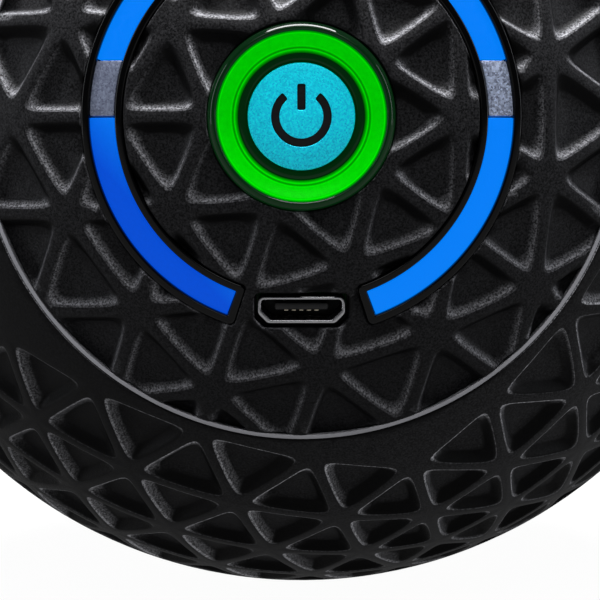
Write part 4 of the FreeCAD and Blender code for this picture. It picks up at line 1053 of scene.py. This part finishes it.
def foam(slot, color):
    """Soft foam with open cells."""
    paint = Paint(slot, color, 0.95, specular=0.2)
    cells = paint.flakes(0.5, "Distance")
    paint.tint(cells, 1.3, 0.6, 0, 0.8)
    paint.bump(cells, 0.9, 0.25)
    return paint


def windings(slot, color):
    """Enamelled copper wire laid side by side."""
    paint = Paint(slot, color, 0.25, metallic=0.9)
    shape = {"Vector": paint.where, "Scale": 900, "Distortion": 1.5}
    waves = paint.add("TexWave", shape, bands_direction="X").outputs["Fac"]
    paint.tint(waves, 0.55, 1.0, 0.1, 0.8)
    paint.bump(waves, 0.8, 0.12)
    paint.set("Coat Weight", 0.5)
    return paint


def circuit_board(slot, color):
    """Solder mask over a faint pattern of copper areas."""
    paint = Paint(slot, color, 0.3)
    areas = paint.flakes(3.2, "Distance")
    paint.tint(areas, 0.75, 1.3, 0.3, 0.36)
    paint.rough(paint.noise(0.8), 0.22, 0.4)
    paint.bump(areas, 0.3, 0.03)
    return paint


MATERIALS = {}


def look(slot, make, *values, **settings):
    MATERIALS[slot] = make(slot, *values, **settings).material


# The silicones' paler grey and their edge, slope and plain shares are painted highlights and painted light.
look("sleeve_silicone", silicone, (0.0012, 0.0012, 0.0014), pale=(0.60, 0.60, 0.64), plain=0.02, edge=0.8,
     slopes=[(0.2, 0.3), (0.4, 0.3), (0.7, 0.2)], lit_from_below=True)
look("pad_silicone", silicone, (0.0012, 0.0012, 0.0015), pale=(0.50, 0.50, 0.54), plain=0.06, edge=0.35,
     slopes=[(0.2, 1.0), (0.35, 0.7), (0.6, 0.3)], lit_from_below=False)
look("ring_grey", plastic, (0.36, 0.36, 0.39), 0.36)
look("shell_plastic", plastic, (0.055, 0.055, 0.06), 0.6)
look("carrier_plastic", plastic, (0.02, 0.02, 0.022), 0.6)
look("frame_black", plastic, (0.001, 0.001, 0.0012), 0.12, grain=0.5, depth=0.004, specular=0.2)
# The blue bars' dim colour is painted shade towards the lower left.
look("blue_light", glow, (0.0, 0.02, 0.12), light=(0.0, 0.20, 0.88), dim=(0.0, 0.065, 0.60))
look("spacer_grey", flake_metallic, (0.62, 0.72, 0.96), deep=(0.15, 0.17, 0.26))
# The bezel's faint green tint and glow are a painted reflection of the button's light ring.
look("bezel_gloss", gloss_black, (0.0018, 0.0040, 0.0024), stray_light=(0.0, 0.016, 0.002))
look("green_light", ring_glow, (0.0, 0.05, 0.0), light=(0.0, 0.80, 0.0))
# The button's light is painted light: a faint glow, stronger towards the top.
look("button_cyan", button_lacquer, (0.0, 0.80, 1.0), deep=(0.0, 0.40, 0.66),
     mark=(0.002, 0.002, 0.003), light=(0.0, 0.30, 0.38))
look("switch_plastic", plastic, (0.04, 0.04, 0.04), 0.5)
look("socket_steel", metal, (0.46, 0.46, 0.48), 0.24)
look("insulator_black", plastic, (0.006, 0.006, 0.007), 0.5)
look("contact_gold", metal, (0.60, 0.54, 0.42), 0.3)
look("board_green", circuit_board, (0.01, 0.09, 0.035))
look("led_body", plastic, (0.72, 0.72, 0.62), 0.25)
look("chip_black", plastic, (0.012, 0.012, 0.013), 0.55, grain=0.12, depth=0.02)
look("header_white", plastic, (0.72, 0.70, 0.62), 0.42)
look("capacitor_tan", plastic, (0.30, 0.19, 0.10), 0.4)
look("can_steel", metal, (0.56, 0.56, 0.57), 0.33, grain=(0.06, 1, 1))
look("end_cap_plastic", plastic, (0.66, 0.64, 0.56), 0.45)
look("bush_bronze", metal, (0.48, 0.30, 0.12), 0.42, size=0.2, depth=0.02)
look("magnet_dark", plastic, (0.03, 0.03, 0.033), 0.7, grain=0.15, depth=0.03)
look("shaft_steel", metal, (0.66, 0.66, 0.67), 0.16, grain=(1, 0.05, 0.05))
look("core_steel", metal, (0.36, 0.36, 0.37), 0.42, grain=(1, 0.05, 0.05), size=0.3, depth=0.03)
look("winding_copper", windings, (0.62, 0.22, 0.08))
look("weight_steel", metal, (0.40, 0.39, 0.37), 0.45, size=0.3, depth=0.03)
look("chassis_plastic", plastic, (0.08, 0.085, 0.09), 0.55)
look("wrap_blue", plastic, (0.02, 0.07, 0.24), 0.22, grain=2.0, depth=0.03)
look("strip_nickel", metal, (0.60, 0.58, 0.53), 0.3, grain=(0.08, 1, 1))
look("foam_grey", foam, (0.10, 0.10, 0.105))
look("screw_steel", metal, (0.52, 0.52, 0.53), 0.27)
look("lead_red", plastic, (0.42, 0.012, 0.008), 0.4, grain=0.4)
look("lead_black", plastic, (0.012, 0.012, 0.012), 0.4, grain=0.4)

for part in frame["record"]["subparts"]:
    materials = frame["nodes"][part["node"]].data.materials
    materials.clear()
    materials.append(MATERIALS[part["material_slot"]])


# ==== Floor, lights and camera ====
FLOOR_GAP = 0.05
FLOOR_LIGHT = 0.3
FLOOR_SEEN = 0.97


def make_floor():
    """Pale seamless floor under the ball."""
    size, ground = 3.0, cad_box[0].z - FLOOR_GAP * MM
    mesh = bpy.data.meshes.new("floor")
    corners = [(-size, -size), (size, -size), (size, size), (-size, size)]
    mesh.from_pydata([(x, y, ground) for x, y in corners], [], [(0, 1, 2, 3)])
    paint = Paint("floor", (0.06, 0.06, 0.06), 0.9, specular=0.05)
    paint.set("Base Color", paint.blend(paint.noise(40.0), (0.059,) * 3, (0.061,) * 3))
    paint.emit((1.0, 1.0, 1.0, 1.0))
    seen = paint.add("LightPath").outputs["Is Camera Ray"]
    paint.set("Emission Strength", paint.span(seen, FLOOR_LIGHT, FLOOR_SEEN, 0, 1))
    mesh.materials.append(paint.material)
    put("floor", mesh)


def soft_light(name, place, size, power, color=(1, 1, 1)):
    """A rectangular soft box that faces the ball."""
    light = bpy.data.lights.new(name, "AREA")
    light.shape = "RECTANGLE"
    light.size, light.size_y = size
    light.energy = power
    light.color = color
    lamp = put(name, light)
    lamp.location = place
    lamp.rotation_euler = (-Vector(place)).to_track_quat("-Z", "Y").to_euler()


def make_lights():
    """Soft boxes above and a strip on either side, in a dim room that the camera sees as light grey."""
    soft_light("top_box", (0.0, -0.04, 0.62), (0.5, 0.24), 12.0)
    soft_light("front_top_box", (0.0, -0.52, 0.40), (0.5, 0.2), 1.0)
    for name, across in (("left_strip", -0.6), ("right_strip", 0.6)):
        soft_light(name, (across, -0.05, 0.14), (0.16, 0.5), 1.2, (0.92, 0.95, 1.0))
    world = bpy.data.worlds.new("studio")
    world.use_nodes = True
    tree = world.node_tree
    room, seen = tree.nodes["Background"], tree.nodes.new("ShaderNodeBackground")
    room.inputs["Color"].default_value = (0.045, 0.047, 0.05, 1)
    seen.inputs["Color"].default_value = (0.82, 0.82, 0.82, 1)
    path, mix = tree.nodes.new("ShaderNodeLightPath"), tree.nodes.new("ShaderNodeMixShader")
    for n, output in enumerate((path.outputs["Is Camera Ray"], room.outputs[0], seen.outputs[0])):
        tree.links.new(output, mix.inputs[n])
    tree.links.new(mix.outputs[0], tree.nodes["World Output"].inputs["Surface"])
    bpy.context.scene.world = world


def make_camera():
    """Camera just below the button's level, aimed down so that the button sits high in the frame."""
    distance = 0.2328
    rise, down, right = (math.radians(angle) for angle in (-0.53, 4.635, -0.037))
    data = bpy.data.cameras.new("camera")
    data.lens, data.sensor_width = 131.93, 36.0
    camera = put("camera", data)
    camera.location = (0.0, -distance * math.cos(rise), distance * math.sin(rise))
    tilt = -rise - down
    aim = Vector((math.sin(right) * math.cos(tilt), math.cos(right) * math.cos(tilt), math.sin(tilt)))
    camera.rotation_euler = aim.to_track_quat("-Z", "Y").to_euler()
    bpy.context.scene.camera = camera


# ==== The scene ====
make_camera()
make_sleeve()
make_pad()
make_seam_ring()
make_bezel()
make_light_ring()
make_guide()
make_button()
make_indicator()
make_socket()
make_floor()
make_lights()
bpy.context.scene.view_settings.view_transform = "Standard"
